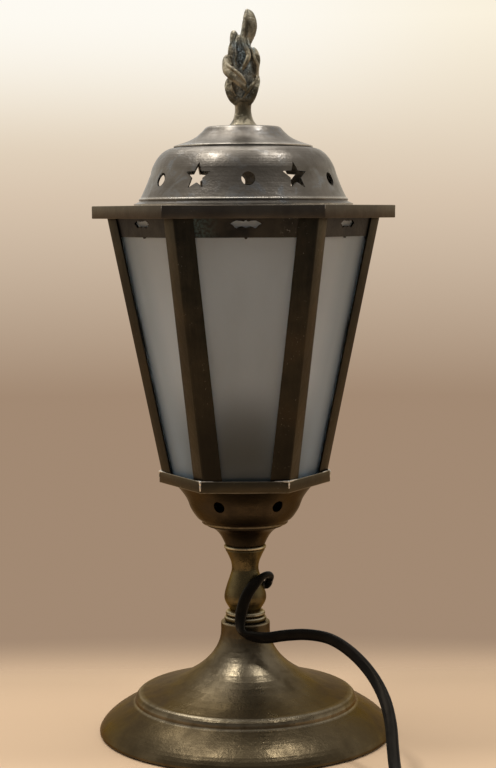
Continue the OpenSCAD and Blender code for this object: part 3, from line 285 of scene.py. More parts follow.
def aged_brass(name, tone, deep, worn_and_lit, crests, dull, bloom=None, edge=(1, 1, 1)):
    """Old brass under its patina, with fine turning marks, lighter at its crests, partly from
    polish and partly as painted highlight.
    """
    finish = Finish(name)
    place = finish.place()
    x, y, z = finish.axes(place)
    clouds = finish.noise(place, scale=26, detail=4, roughness=0.6)
    patches = finish.noise(place, scale=110, detail=3, roughness=0.6, distortion=0.6)
    freckles = finish.noise(place, scale=900, detail=2, roughness=0.6)
    wavering = finish.joined(off_axis(x, y) + clouds * 0.0006, 0, z + patches * 0.0004)
    turning = finish.noise(wavering, scale=1500, detail=2, roughness=0.7)
    tarnish = (clouds.between(0.32, 0.68) * 0.65 + patches.between(0.3, 0.75) * 0.35).clipped()
    colour = finish.mixed(tarnish, deep, tone)
    pits = freckles.between(0.64, 0.72) * patches.between(0.45, 0.6)
    colour = finish.mixed(pits * 0.55, colour, tuple(c * 0.35 for c in deep))
    # Crests painted lighter: partly polish, partly painted highlight lines
    wear_and_sheen = finish.crest_wear_and_sheen(z, crests, patches)
    colour = finish.mixed(wear_and_sheen, colour, worn_and_lit)
    if bloom is not None:
        veil = patches.between(0.5, 0.66) * clouds.between(0.4, 0.6)
        colour = finish.mixed(veil * 0.6, colour, bloom)
    rough = dull + (1 - tarnish) * 0.14 + turning * 0.08 + freckles * 0.05 - 0.08 - wear_and_sheen * 0.10
    normal = finish.bumped((clouds, 0.0009), (turning, 0.00004), (freckles, 0.00009))
    return finish.surface(
        Base_Color=colour,
        Metallic=0.80 + tarnish * 0.15,
        Roughness=rough.clipped(),
        Specular_Tint=(*edge, 1),
        Normal=normal,
    )


def folded_brass(name, tone, deep, worn_and_lit, warm, crests=(), streaky=0.3, foot=0):
    """Dark sheet of the frame: streaked, with painted shade at its foot, painted glints in specks,
    and crests lighter partly from rubbing and partly as painted highlight.
    """
    finish = Finish(name)
    place = finish.place()
    z = finish.axes(place)[2]
    clouds = finish.noise(place, scale=30, detail=4, roughness=0.6)
    drawn = finish.stretched(place, (1, 1, 0.08))
    streaks = finish.noise(drawn, scale=420, detail=3, roughness=0.65, distortion=0.4)
    specks = finish.noise(place, scale=1300, detail=2, roughness=0.5)
    shade = clouds.between(0.3, 0.7) * (1 - streaky) + streaks.between(0.3, 0.7) * streaky
    colour = finish.mixed(shade, deep, tone)
    colour = finish.mixed(clouds.between(0.52, 0.7) * 0.5, colour, warm)
    # Painted shade: the sheet darker towards its foot
    if foot:
        colour = finish.mixed((1 - z.between(*POST_SHADE)) * foot, colour, deep)
    # Painted glints: bright specks in the lighter crest colour
    glints = specks.between(0.70, 0.76) * clouds.between(0.45, 0.65)
    colour = finish.mixed(glints * 0.8, colour, worn_and_lit)
    # Crests: lighter lines, partly from rubbing and partly painted highlight
    if crests:
        colour = finish.mixed(finish.crest_wear_and_sheen(z, crests, streaks), colour, worn_and_lit)
    rough = 0.28 + streaks * 0.14 + specks * 0.06
    normal = finish.bumped((clouds, 0.0008), (streaks, 0.00002), (specks, 0.00004))
    return finish.surface(
        Base_Color=colour,
        Metallic=0.78 + shade * 0.14,
        Roughness=rough.clipped(),
        Specular_Tint=(0.84, 0.76, 0.64, 1),
        Normal=normal,
    )


def frieze_brass(name):
    """Near-black band with a blue-green bloom at one end and bare specks at the other."""
    finish = Finish(name)
    place = finish.place()
    x = finish.axes(place)[0]
    clouds = finish.noise(place, scale=60, detail=4, roughness=0.6)
    crust = finish.noise(place, scale=700, detail=4, roughness=0.65)
    colour = finish.mixed(clouds.between(0.35, 0.7), (0.012, 0.012, 0.012), (0.042, 0.038, 0.031))
    verdigris = (1 - (x - BLOOM_AT).size() / BLOOM_REACH).clipped() * crust.between(0.38, 0.62)
    colour = finish.mixed(verdigris * 0.75, colour, (0.055, 0.105, 0.110))
    flecks = (1 - (x - SPECKS_AT).size() / SPECKS_REACH).clipped() * crust.between(0.62, 0.68)
    colour = finish.mixed(flecks, colour, (0.42, 0.40, 0.36))
    normal = finish.bumped((clouds, 0.0006), (crust, 0.00006))
    return finish.surface(
        Base_Color=colour,
        Metallic=0.72 - verdigris * 0.5,
        Roughness=0.38 + crust * 0.14,
        Normal=normal,
    )


def cast_brass(name):
    """The flame: pale brown on its ridges, partly wear and partly painted highlight, with a painted
    highlight on its top leaf and painted glints in bright specks; dark and blue-grey in its
    hollows.
    """
    finish = Finish(name)
    place = finish.place()
    x, y, z = finish.axes(place)
    clouds = finish.noise(place, scale=120, detail=4, roughness=0.6)
    skin = finish.noise(place, scale=620, detail=4, roughness=0.65, distortion=0.5)
    fine = finish.noise(place, scale=2200, detail=2, roughness=0.6)
    # Ridges lighter than hollows: partly wear, partly painted highlight; the top leaf gets the
    # ridge colour as a painted highlight
    raised = (off_axis(x, y) + skin * 0.002).between(*HOLLOW_TO_RIDGE)
    ends = (z.between(*TOP_LEAF) * 0.85).maths("MAXIMUM", 1 - z.between(*TURNED_FOOT))
    raised = raised.maths("MAXIMUM", ends)
    hollow = finish.mixed(skin.between(0.40, 0.58), (0.050, 0.052, 0.046), (0.24, 0.29, 0.31))
    ridge = finish.mixed(clouds.between(0.40, 0.60), (0.12, 0.105, 0.070), (0.36, 0.32, 0.235))
    colour = finish.mixed(raised, hollow, ridge)
    # Bright specks: painted glints on the rough skin
    colour = finish.mixed(skin.between(0.64, 0.72) * 0.6, colour, (0.66, 0.62, 0.54))
    normal = finish.bumped((skin, 0.00070), (fine, 0.00008))
    return finish.surface(
        Base_Color=colour, Metallic=0.82, Roughness=0.24 + clouds * 0.12, Normal=normal
    )


# ---------------------------------------------------------------- other finishes

# The panes, in metres: heights over which their low shade ends, their foot, half a pane's
# width there and what it gains for each metre up
LOW_SHADE = (0.145, 0.205)
PANE_FOOT, PANE_HALF, PANE_SPREAD = 0.147, 0.0452, 0.211
# Streak beside each corner: how far in from the corner it lies, and its reach
STREAK_IN, STREAK_REACH = 0.0075, 0.0035
# The front pane, painted darker than the side panes as painted shade: how far forward it starts,
# and over what depth the side panes give way to it
FRONT_FROM, FRONT_DEPTH = -0.020, 0.012
# Painted shade of the lampholder at the front pane's foot: its middle, its reach, and heights over
# which it deepens
HOLDER_SHADE_AT, HOLDER_SHADE_REACH = -0.002, 0.026
HOLDER_SHADE_RISE = (0.143, 0.165)


def etched_glass(name):
    """Pane frosted on its inner side, a little stained, with painted shade: darker towards its
    foot, darker on the front pane, and darkest where the lampholder stands behind the front pane's
    foot.
    """
    finish = Finish(name)
    place = finish.place()
    x, y, z = finish.axes(place)
    drawn = finish.stretched(place, (1, 1, 0.35))
    stain = finish.noise(drawn, scale=55, detail=4, roughness=0.6)
    frost = finish.noise(place, scale=2600, detail=2, roughness=0.6)
    low = 1 - z.between(*LOW_SHADE)
    front = ((FRONT_FROM - y) / FRONT_DEPTH).clipped()
    # Painted shade: the front pane darker than the side panes
    colour = finish.mixed(front, (0.60, 0.68, 0.75), (0.73, 0.79, 0.85))
    # Painted shade towards the foot of every pane
    colour = finish.mixed(low, colour, (0.42, 0.53, 0.64))
    corner = PANE_HALF + (z - PANE_FOOT) * PANE_SPREAD
    streak = 1 - (corner - x.size() - STREAK_IN).size() / STREAK_REACH
    colour = finish.mixed(streak.clipped() * 0.6, colour, (0.36, 0.46, 0.55))
    colour = finish.mixed(stain.between(0.45, 0.75) * 0.25, colour, (0.56, 0.60, 0.62))
    # Painted shade: the front pane's foot darker still
    colour = finish.mixed(front * low * 0.8, colour, (0.15, 0.21, 0.25))
    # Painted shade where the lampholder stands behind the front pane
    holder_shade = 1 - ((x - HOLDER_SHADE_AT).size() / HOLDER_SHADE_REACH).between(0.2, 1)
    holder_shade = holder_shade * front * low * (0.3 + z.between(*HOLDER_SHADE_RISE) * 0.5)
    colour = finish.mixed(holder_shade, colour, (0.14, 0.14, 0.13))
    return finish.surface(
        Base_Color=colour,
        Roughness=0.42 + stain * 0.16,
        Transmission_Weight=0.72,
        IOR=1.46,
        Normal=finish.bumped((frost, 0.00002)),
    )


def clear_glass(name):
    """Thin blown glass of the bulb, a little dusty."""
    finish = Finish(name)
    place = finish.place()
    ripple = finish.noise(place, scale=60, detail=2)
    dust = finish.noise(place, scale=900, detail=3)
    return finish.surface(
        Base_Color=finish.mixed(dust.between(0.5, 0.8) * 0.3, (0.97, 0.98, 0.98), (0.8, 0.8, 0.78)),
        Roughness=0.04 + dust * 0.05,
        Transmission_Weight=0.95,
        IOR=1.47,
        Normal=finish.bumped((ripple, 0.0003)),
    )


def plain_metal(name, tone, dark, dull):
    """Machined or plated metal with its tool marks."""
    finish = Finish(name)
    place = finish.place()
    marks = finish.noise(place, scale=1400, detail=3, roughness=0.6)
    smears = finish.noise(place, scale=120, detail=4, roughness=0.6)
    colour = finish.mixed(smears.between(0.4, 0.7) * 0.7, tone, dark)
    return finish.surface(
        Base_Color=colour,
        Metallic=1.0,
        Roughness=dull + marks * 0.12 + smears * 0.08,
        Normal=finish.bumped((marks, 0.00004)),
    )


def threaded_metal(name, tone, pitch):
    """Plated rod or cap with a rolled thread round the lamp's axis."""
    finish = Finish(name)
    place = finish.place()
    x, y, z = finish.axes(place)
    turn = y.maths("ARCTAN2", x) / (2 * math.pi)
    thread = ((z / pitch + turn) * 2 * math.pi).maths("SINE") * 0.5 + 0.5
    smears = finish.noise(place, scale=160, detail=4, roughness=0.6)
    colour = finish.mixed((1 - thread) * 0.5 + smears * 0.2, tone, tuple(c * 0.45 for c in tone))
    return finish.surface(
        Base_Color=colour,
        Metallic=1.0,
        Roughness=0.28 + smears * 0.2,
        Normal=finish.bumped((thread, 0.0004)),
    )


def cast_iron(name):
    """Rough iron of the weight, with patches of rust."""
    finish = Finish(name)
    place = finish.place()
    skin = finish.noise(place, scale=420, detail=5, roughness=0.7)
    rust = finish.noise(place, scale=45, detail=4, roughness=0.65)
    colour = finish.mixed(rust.between(0.5, 0.7), (0.045, 0.045, 0.048), (0.14, 0.075, 0.045))
    return finish.surface(
        Base_Color=colour,
        Metallic=0.5,
        Roughness=0.62 + skin * 0.2,
        Normal=finish.bumped((skin, 0.0006)),
    )


def felt(name):
    """Matted green felt under the base, with some lint."""
    finish = Finish(name)
    place = finish.place()
    fibre = finish.noise(place, scale=2400, detail=4, roughness=0.7, distortion=1.2)
    lint = finish.noise(place, scale=300, detail=3)
    colour = finish.mixed(fibre, (0.012, 0.026, 0.016), (0.045, 0.085, 0.055))
    colour = finish.mixed(lint.between(0.62, 0.8) * 0.4, colour, (0.16, 0.18, 0.15))
    return finish.surface(
        Base_Color=colour,
        Roughness=0.95,
        Sheen_Weight=0.3,
        Normal=finish.bumped((fibre, 0.0006)),
    )


def porcelain(name):
    """Glazed porcelain of the lampholder, with a few specks."""
    finish = Finish(name)
    place = finish.place()
    glaze = finish.noise(place, scale=140, detail=3)
    specks = finish.noise(place, scale=1100, detail=2)
    colour = finish.mixed(specks.between(0.68, 0.76) * 0.5, (0.80, 0.77, 0.70), (0.35, 0.30, 0.24))
    return finish.surface(
        Base_Color=colour,
        Roughness=0.16 + glaze * 0.1,
        Coat_Weight=0.4,
        Normal=finish.bumped((glaze, 0.0002)),
    )


def black_plastic(name, tone=(0.012, 0.012, 0.013), dull=0.30):
    """Moulded black plastic with a fine spark texture and a little dust."""
    finish = Finish(name)
    place = finish.place()
    spark = finish.noise(place, scale=2600, detail=2, roughness=0.6)
    dust = finish.noise(place, scale=260, detail=4, roughness=0.65)
    haze = finish.noise(place, scale=40, detail=3)
    colour = finish.mixed(dust.between(0.55, 0.85) * 0.35, tone, (0.060, 0.056, 0.052))
    return finish.surface(
        Base_Color=colour,
        Roughness=dull + haze * 0.14 + spark * 0.06,
        Normal=finish.bumped((spark, 0.00003)),
    )


def flex_sheath(name):
    """Glossy black sheath, with soft smears from handling."""
    finish = Finish(name)
    place = finish.place()
    smears = finish.noise(place, scale=75, detail=3, roughness=0.6)
    fine = finish.noise(place, scale=900, detail=3, roughness=0.6)
    colour = finish.mixed(smears.between(0.4, 0.8), (0.006, 0.006, 0.006), (0.014, 0.013, 0.012))
    return finish.surface(
        Base_Color=colour,
        Specular_IOR_Level=0.085,
        Specular_Tint=(0.90, 0.72, 0.50, 1),
        Roughness=0.28 + smears * 0.16 + fine * 0.05,
        Normal=finish.bumped((smears, 0.0003), (fine, 0.00003)),
    )


def tin_solder(name):
    """Bright solder with grime in its skin."""
    finish = Finish(name)
    place = finish.place()
    skin = finish.noise(place, scale=500, detail=3, roughness=0.6)
    grime = finish.noise(place, scale=170, detail=4, roughness=0.6)
    colour = finish.mixed(grime.between(0.45, 0.65), (0.74, 0.72, 0.68), (0.26, 0.24, 0.20))
    return finish.surface(
        Base_Color=colour,
        Metallic=0.9,
        Roughness=0.22 + skin * 0.18,
        Normal=finish.bumped((skin, 0.0003)),
    )


# ---------------------------------------------------------------- routes of the flex, in mm


def smooth_route(points, steps):
    """Points of a smooth curve through the points of a route."""
    points = [Vector(p) for p in points]
    route = []
    for i in range(len(points) - 1):
        before, start = points[max(i - 1, 0)], points[i]
        end, after = points[i + 1], points[min(i + 2, len(points) - 1)]
        for j in range(steps):
            t = j / steps
            route.append(
                0.5
                * (
                    2 * start
                    + (end - before) * t
                    + (2 * before - 5 * start + 4 * end - after) * t * t
                    + (3 * start - before - 3 * end + after) * t**3
                )
            )
    return route + [points[-1]]


# Points that a smooth route gets from one given point to the next
STEPS = 4
FLAME_STEPS = 8
FLEX_WIDTH = 6.4
FLEX_THICKNESS = 3.9
HOLE_TURN = math.radians(12)
HOLE_OUT = Vector((math.cos(HOLE_TURN), math.sin(HOLE_TURN), 0))
HOLE_SIDE = Vector((math.sin(HOLE_TURN), -math.cos(HOLE_TURN), 0))
FLEX_START = 10.23 * HOLE_OUT + Vector((0, 0, 82))
SWITCH_BACK = Vector((76, -135, 8))
SWITCH_FRONT = Vector((76, -197, 8))
PLUG_BACK = Vector((-32, -224, 6.85))
COIL_AT = Vector((14, -180, 0))
COIL_RADIUS = 33
COIL_TURNS = 6
COIL_PITCH = 4.5
COIL_LIFT = 0.9
COIL_END = Vector((8, 0, 0))
COIL_POINTS = 24
LAYER_GAP = 0.6


def lead_route():
    """From the stem's hole round the stem, over the base and down to the switch."""
    points = [FLEX_START, FLEX_START + 1.8 * HOLE_OUT]
    points += [(13.2, 1, 84.4), (13.6, -1.8, 87.4), (12.2, -5.6, 89.2), (8.8, -9.8, 88.6)]
    points += [(5, -12.6, 85.4), (1.4, -14.2, 80.6), (-1.2, -15, 74.4), (-2.6, -15.8, 68)]
    points += [(-2.8, -17, 63), (-1, -18.4, 59.4), (4.4, -18.6, 57.4), (12, -19, 56.8)]
    points += [(22, -21, 58.6), (34, -26, 60.2), (46.3, -34, 59.5), (57.4, -45, 54.4)]
    points += [(66.6, -58, 46.4), (72.4, -72, 37.3), (74.6, -86, 28), (74.6, -100, 19.4)]
    points += [(74.8, -112, 12.4), (75.8, -124, 8.6)]
    points += [SWITCH_BACK + Vector((0, 4, 0)), SWITCH_BACK]
    broad = [HOLE_SIDE, HOLE_SIDE]
    broad += [(0.2, -1, 0), (0, -1, 0.2), (0.3, -1, 0.3), (0.8, -0.6, 0.6), (0.9, -0.3, 0)]
    broad += [(1, -0.1, 0), (1, 0, 0), (1, -0.3, 0), (0.7, -0.8, 0), (0.2, -1, 0.2)]
    broad += [(0, -0.5, 1), (0, 0, 1), (0, 0, 1), (0, 0, 1), (0.2, 0, 1), (0.4, 0, 1)]
    broad += [(0.7, 0, 0.7), (1, 0, 0.4), (1, 0, 0.2), (1, 0, 0), (1, 0, 0), (1, 0, 0)]
    broad += [(1, 0, 0), (1, 0, 0)]
    return points, broad


def coil_point(u):
    """One layer spirals in, the flex climbs, and the other layer spirals out above it."""
    ease = min(1, max(0, 2 * u - COIL_TURNS + 0.5))
    ease = ease * ease * (3 - 2 * ease)
    radius = COIL_RADIUS + COIL_PITCH * (abs(u - COIL_TURNS / 2) - COIL_TURNS / 4)
    turn = math.radians(-90 - 360 * u)
    height = COIL_LIFT + FLEX_WIDTH / 2 + ease * (FLEX_WIDTH + LAYER_GAP)
    return COIL_AT + Vector((radius * math.cos(turn), radius * math.sin(turn), height))


def stored_route():
    """From the switch round into the coil, and out of it to the plug."""
    coil = [coil_point(i / COIL_POINTS) for i in range(COIL_POINTS * COIL_TURNS + 1)]
    start = coil[0] + COIL_END
    leave = coil[-1] - COIL_END
    run = [SWITCH_FRONT, SWITCH_FRONT - Vector((0, 5, 0.2)), (75.4, -209, 6.2)]
    run += [(70.6, -214.6, 4.8), (62.8, -218.6, 4.2), (52, -219.8, 4.1), (38, -219.8, 4.1)]
    run += [start]
    tail = [leave, (-1, -220, 10.9), (-8, -221, 9.6), (-18, -223, 7.8)]
    tail += [PLUG_BACK + Vector((5, 0, 0)), PLUG_BACK]
    upright = (0, 0, 1)
    run_broad = [(1, 0, 0), (1, 0, 0), (0.8, 0, 0.8)] + [upright] * 5
    tail_broad = [upright, upright, (0, 0.4, 1), (0, 1, 0.6), (0, 1, 0), (0, 1, 0)]
    route = smooth_route(run, STEPS) + coil + smooth_route(tail, STEPS)
    broad = smooth_route(run_broad, STEPS) + [Vector(upright)] * len(coil)
    return route, broad + smooth_route(tail_broad, STEPS)


def oval(corners):
    """Section of the flat flex: two round ends joined by flat sides."""
    reach = (FLEX_WIDTH - FLEX_THICKNESS) / 2
    rim = []
    for side in (1, -1):
        for i in range(corners):
            turn = math.radians(-90 + 180 * i / (corners - 1))
            across = reach + FLEX_THICKNESS / 2 * math.cos(turn)
            rim.append((side * across, side * FLEX_THICKNESS / 2 * math.sin(turn)))
    return rim


def swept(route, broad, rims, start=None, end=None):
    """Corners and faces of a tube along a route, its broad side turned to the given directions."""
    corners, faces = [], []
    count, around = len(route), len(rims[0])
    for i, centre in enumerate(route):
        ahead = route[min(i + 1, count - 1)] - route[max(i - 1, 0)]
        if i == 0 and start is not None:
            ahead = start
        if i == count - 1 and end is not None:
            ahead = end
        ahead = Vector(ahead).normalized()
        across = Vector(broad[i])
        across = (across - across.dot(ahead) * ahead).normalized()
        depth = ahead.cross(across)
        corners += [(centre + q[0] * across + q[1] * depth) * MM for q in rims[i]]
    for i in range(count - 1):
        for j in range(around):
            k = (j + 1) % around
            a, b = i * around, (i + 1) * around
            faces.append((a + j, a + k, b + k, b + j))
    faces.append(tuple(reversed(range(around))))
    faces.append(tuple(range((count - 1) * around, count * around)))
    return corners, faces


def new_piece(name, parts):
    """One mesh object from the corners and faces of its parts."""
    corners, faces = [], []
    for more_corners, more_faces in parts:
        first = len(corners)
        corners += more_corners
        faces += [tuple(first + c for c in face) for face in more_faces]
    mesh = bpy.data.meshes.new(name)
    mesh.from_pydata(corners, [], faces)
    piece = bpy.data.objects.new(name, mesh)
    bpy.context.scene.collection.objects.link(piece)
    return piece


def lay_flex(name, route, broad, rim, start, end):
    """The sheath of the flex along its route."""
    piece = new_piece(name, [swept(route, broad, [rim] * len(route), start, end)])
    pick(piece)
    bpy.ops.object.shade_smooth_by_angle(angle=math.radians(40))
    return piece


def length_of(route):
    """Length of a route in mm, given in metres."""
    return sum((b - a).length for a, b in zip(route, route[1:])) * MM


# ---------------------------------------------------------------- modelling helpers

# Corners nearer than this are one, in metres
SAME_PLACE = 0.000005
# Sides of the voxels that solder and flame are cast from, in metres
SOLDER_VOXEL = 0.0002
FLAME_VOXEL = 0.0003
# A route that rises less than this, in mm, lies flat
FLAT_RISE = 2
# Steps along each bead of solder
BEAD_STEPS = 5


def pick(piece):
    """Selects one object alone and makes it the active one."""
    bpy.ops.object.select_all(action="DESELECT")
    piece.select_set(True)
    bpy.context.view_layer.objects.active = piece


def apply_modifier(piece, kind, **settings):
    """Adds a modifier and applies it, which leaves the piece picked."""
    pick(piece)
    modifier = piece.modifiers.new(kind.title(), kind)
    for name, value in settings.items():
        setattr(modifier, name, value)
    bpy.ops.object.modifier_apply(modifier=modifier.name)


def softened(name, body, width):
    """A copy of a CAD piece with its sharp edges rounded off. It takes the piece's place."""
    piece = bpy.data.objects.new(name + "_softened", NODES[name].data.copy())
    bpy.context.scene.collection.objects.link(piece)
    pick(piece)
    bpy.ops.mesh.customdata_custom_splitnormals_clear()
    bpy.ops.object.mode_set(mode="EDIT")
    bpy.ops.mesh.select_all(action="SELECT")
    bpy.ops.mesh.remove_doubles(threshold=SAME_PLACE)
    bpy.ops.mesh.dissolve_limited(angle_limit=math.radians(1))
    bpy.ops.object.mode_set(mode="OBJECT")
    apply_modifier(
        piece,
        "BEVEL",
        width=width * MM,
        segments=2,
        limit_method="ANGLE",
        angle_limit=math.radians(35),
    )
    bpy.ops.object.shade_smooth_by_angle(angle=math.radians(32))
    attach(piece, body)
    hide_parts(name)
    return piece


def solder_piece(name, body, runs):
    """Beads of solder along runs of points, each point with its radius in mm."""
    parts = []
    for run in runs:
        route = smooth_route([p[:3] for p in run], STEPS)
        sizes = smooth_route([(p[3], 0, 0) for p in run], STEPS)
        rims = [[(x * w[0], y * w[0]) for x, y in ROUND] for w in sizes]
        flat = abs(run[0][2] - run[-1][2]) < FLAT_RISE
        broad = (0, 0, 1) if flat else (1, 0.3, 0)
        parts.append(swept(route, [broad] * len(route), rims))
    piece = new_piece(name, parts)
    apply_modifier(piece, "REMESH", mode="VOXEL", voxel_size=SOLDER_VOXEL)
    apply_modifier(piece, "SMOOTH", factor=0.5, iterations=2)
    bpy.ops.object.shade_smooth()
    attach(piece, body)
    return piece


def corner_runs(reach, low, high, thick, arm, chance):
    """Runs of solder down the six corners of a folded rim, and a little way along its top edge."""
    runs = []
    for k in range(6):
        turn = math.radians(60 * k)
        corner = Vector((math.cos(turn), math.sin(turn), 0)) * reach
        foot = low + (high - low) * chance.uniform(0, 0.35)
        run = []
        for i in range(BEAD_STEPS + 1):
            z = foot + (high - foot) * i / BEAD_STEPS
            size = thick * (0.6 + 0.4 * i / BEAD_STEPS) * chance.uniform(0.7, 1.2)
            run.append((corner.x, corner.y, z, size))
        runs.append(run)
        for side in (1, -1):
            along = turn + side * math.radians(120)
            ahead = Vector((math.cos(along), math.sin(along), 0))
            length = arm * chance.uniform(0.6, 1.3)
            run = []
            for i in range(BEAD_STEPS + 1):
                spot = corner * (1 - 0.3 / reach) + ahead * (length * i / BEAD_STEPS)
                size = thick * (0.95 - 0.6 * i / BEAD_STEPS) * chance.uniform(0.75, 1.25)
                run.append((spot.x, spot.y, high - 0.05, size))
            runs.append(run)
    return runs


def dress(piece, material):
    """Gives a piece one finish all over."""
    piece.data.materials.clear()
    piece.data.materials.append(material)


# ---------------------------------------------------------------- the flame

FLAME_FOOT = Vector((0, 0, 349.6))
# Least half width of a tongue, in mm
THINNEST = 0.2
# Sections of a tongue, one unit broad to each side
ROUND = [(math.cos(a), math.sin(a)) for a in (math.radians(22.5 * i) for i in range(16))]
LEAF = [(1, 0), (0.7, 0.26), (0.3, 0.46), (-0.1, 0.6), (-0.45, 0.36), (-0.8, 0.16), (-1, 0)]
LEAF += [(-0.7, -0.26), (-0.3, -0.46), (0.1, -0.6), (0.45, -0.36), (0.8, -0.16)]
BAND = [(x, 0.62 * y) for x, y in ROUND]
OVAL = [(x, 0.8 * y) for x, y in ROUND]
ROUND_FINE = [(math.cos(a), math.sin(a)) for a in (math.radians(5 * i) for i in range(72))]
# Radius and height of the turned foot, from its seat up to the flame
TURNED = [(7.4, -13), (7.6, -12.7), (7.5, -12.2), (7.0, -11.6), (6.4, -10.8), (5.6, -9.4)]
TURNED += [(4.9, -7.4), (4.5, -5.2), (4.4, -3.4), (4.6, -1.4), (5, 0.2)]
# Each tongue: its section, where its broad side points, and its points with half widths
TONGUES = (
    # body of the flame
    (OVAL, (1, 0, 0), [(0, 0, -1.5, 4.5), (-0.3, 0, 1, 5.4), (-0.5, 0, 4, 7.2), (-0.4, 0, 10, 8)]
    + [(-0.4, 0, 16, 7.8), (-0.2, 0, 21, 7), (-0.2, 0, 25.5, 6.2), (-0.4, 0, 29, 5.2)]
    + [(-0.9, 0, 32, 4.6), (-1.3, 0, 34.6, 3.7), (-1.5, 0, 36.4, 2)]),
    # top leaf, and the ridge that winds down from it over the front
    (LEAF, (1, 0.12, 0), [(2.1, 0, 50.3, 0.5), (2.6, 0, 49, 2), (3.4, 0, 46.6, 3.3)]
    + [(3.8, 0, 42.6, 4.2), (3.3, 0, 38.4, 4.3), (2.2, -0.4, 34.4, 3.7), (1.4, -1, 31.2, 3.1)]
    + [(0.9, -2, 28, 2.5), (1, -3, 25, 2)]),
    (ROUND, (1, 0, 0), [(2.1, -0.6, 49.4, 0.4), (1.7, -1.2, 46.4, 0.9), (1.3, -1.7, 43.4, 1)]
    + [(0.7, -2.2, 40.4, 1.1), (0.1, -2.8, 37.2, 1.2), (-0.3, -3.7, 33.8, 1.3)]
    + [(0.6, -4.8, 30.8, 1.3), (2.1, -5.6, 28, 1.4), (3.1, -6.2, 25, 1.4), (2.4, -6.8, 22.2, 1.4)]
    + [(1, -7.2, 19.6, 1.2), (0, -7.2, 17, 0.6)]),
    (ROUND, (1, 0, 0), [(3.4, -1.4, 35, 0.4), (3, -2.8, 32.4, 0.7), (3.6, -3.8, 30, 0.8)]
    + [(4.8, -4.2, 27.6, 0.7), (5.4, -4.2, 25.6, 0.4)]),
    # second tip on the left, with the rough side under it
    (OVAL, (1, 0.3, 0), [(-4.5, -0.2, 38.7, 0.9), (-4.7, -0.3, 37.4, 1.9), (-4.6, -0.4, 34.4, 2.5)]
    + [(-4.2, -0.6, 31, 3), (-4.4, -0.8, 28.4, 3.6), (-4.4, -0.8, 25, 4), (-4.4, -0.6, 20, 4.4)]
    + [(-4, -0.4, 14, 4.2)]),
    (ROUND, (1, 0, 0), [(-6, -1.6, 35.4, 0.5), (-6.2, -2, 32, 0.8), (-7, -2.2, 29, 0.9)]
    + [(-7.2, -3, 25.6, 0.9), (-6.8, -3.8, 22.4, 0.7), (-6, -4.6, 20, 0.5)]),
    (ROUND, (1, 0, 0), [(-3.4, -2.6, 33, 0.4), (-3.8, -4, 29, 0.7), (-3.4, -5, 25.6, 0.8)]
    + [(-4, -5.6, 22.4, 0.6), (-3, -6.2, 19.6, 0.5)]),
    # tongue on the right
    (OVAL, (1, -0.3, 0), [(6.1, 0, 29.7, 0.7), (6, 0, 28.4, 1.9), (6.1, 0.1, 25.6, 3)]
    + [(6, 0.2, 22, 3.5), (5.6, 0.3, 18, 3.4), (5.2, 0.2, 13, 3.6), (4.8, 0, 8, 3.4)]),
    (ROUND, (1, 0, 0), [(4.6, -1.4, 29.4, 0.5), (4.8, -2.8, 26.8, 1), (6, -3.6, 23.6, 1.1)]
    + [(7.6, -3.2, 20.4, 1), (7.6, -3, 17, 0.9), (6.8, -3.6, 14, 0.6)]),
    (ROUND, (1, 0, 0), [(7.6, -0.8, 27.4, 0.5), (8.6, -1, 24.6, 0.8), (8.6, -1.2, 21.4, 0.9)]
    + [(7.8, -1.6, 18, 0.8)]),
    # thick tongue that wraps from the left round the front, and its sharp upper edge
    (BAND, (0, 0.35, 1), [(-6.6, 5, 26, 1), (-8.7, 2.8, 24, 2), (-9.5, -0.6, 20.8, 2.9)]
    + [(-8.6, -4.2, 17.8, 3.1), (-5.9, -6.8, 14.8, 3.1), (-2.8, -7.8, 12, 2.9)]
    + [(-0.2, -7.8, 9.2, 2.4), (1.4, -7, 6.6, 1.6), (2, -6, 4.6, 0.6)]),
    (ROUND, (0, 0, 1), [(-9.2, -3.6, 20.8, 0.5), (-7.4, -6.8, 18.9, 0.9), (-4.4, -8.5, 16.6, 1)]
    + [(-1.3, -9, 13.9, 1), (0.6, -8.8, 11.6, 0.8), (1.8, -8, 9.4, 0.4)]),
    # lower leaves in front
    (LEAF, (1, 0.6, 0), [(-2.6, -2.2, -0.6, 2.6), (-5, -3.2, 3, 3.9), (-6.5, -3, 7, 4)]
    + [(-7.4, -1.6, 10.4, 2.8), (-7.8, -0.4, 13, 1)]),
    (ROUND, (1, 0, 0), [(-8.8, -2.6, 10.6, 0.5), (-9, -3.6, 8.2, 0.9), (-8, -4.8, 5.4, 0.9)]
    + [(-6.2, -5.4, 3, 0.6)]),
    (ROUND, (1, 0, 0), [(-6, -5, 10.6, 0.4), (-6, -6, 8.2, 0.7), (-5, -6.4, 5.6, 0.6)]
    + [(-3.6, -6, 3.2, 0.4)]),
    (LEAF, (1, -0.7, 0), [(2.2, -2, -0.6, 2.6), (4.2, -3.2, 3, 3.6), (6, -2.8, 7.4, 3.4)]
    + [(7.8, -1.6, 11.4, 2.1), (8.5, -0.4, 14.4, 0.6)]),
    (ROUND, (0, 0, 1), [(8.1, -1.2, 14.2, 0.5), (6.7, -4.4, 11.6, 0.9), (4.4, -6.4, 8.2, 1)]
    + [(2, -7, 4.6, 0.9), (0, -6.2, 1.8, 0.5)]),
    # leaves at the back
    (LEAF, (1, -0.2, 0), [(0, 3, -0.5, 2.4), (-2, 5.6, 6, 3.6), (-4.4, 5.8, 13, 3.4)]
    + [(-3.6, 5.2, 20, 2.6), (-1, 4, 28, 1)]),
    (LEAF, (1, 0.3, 0), [(2, 3, 1, 2.4), (4, 5.4, 9, 3.2), (3, 6.2, 17, 3), (1.4, 5, 25, 2.6)]
    + [(2, 3.2, 33, 1)]),
    (ROUND, (1, 0, 0), [(-1, 6.8, 2, 0.6), (1.4, 8.2, 8, 1.1), (0.4, 8.4, 15, 1.1)]
    + [(-1, 6.8, 22, 0.6)]),
)


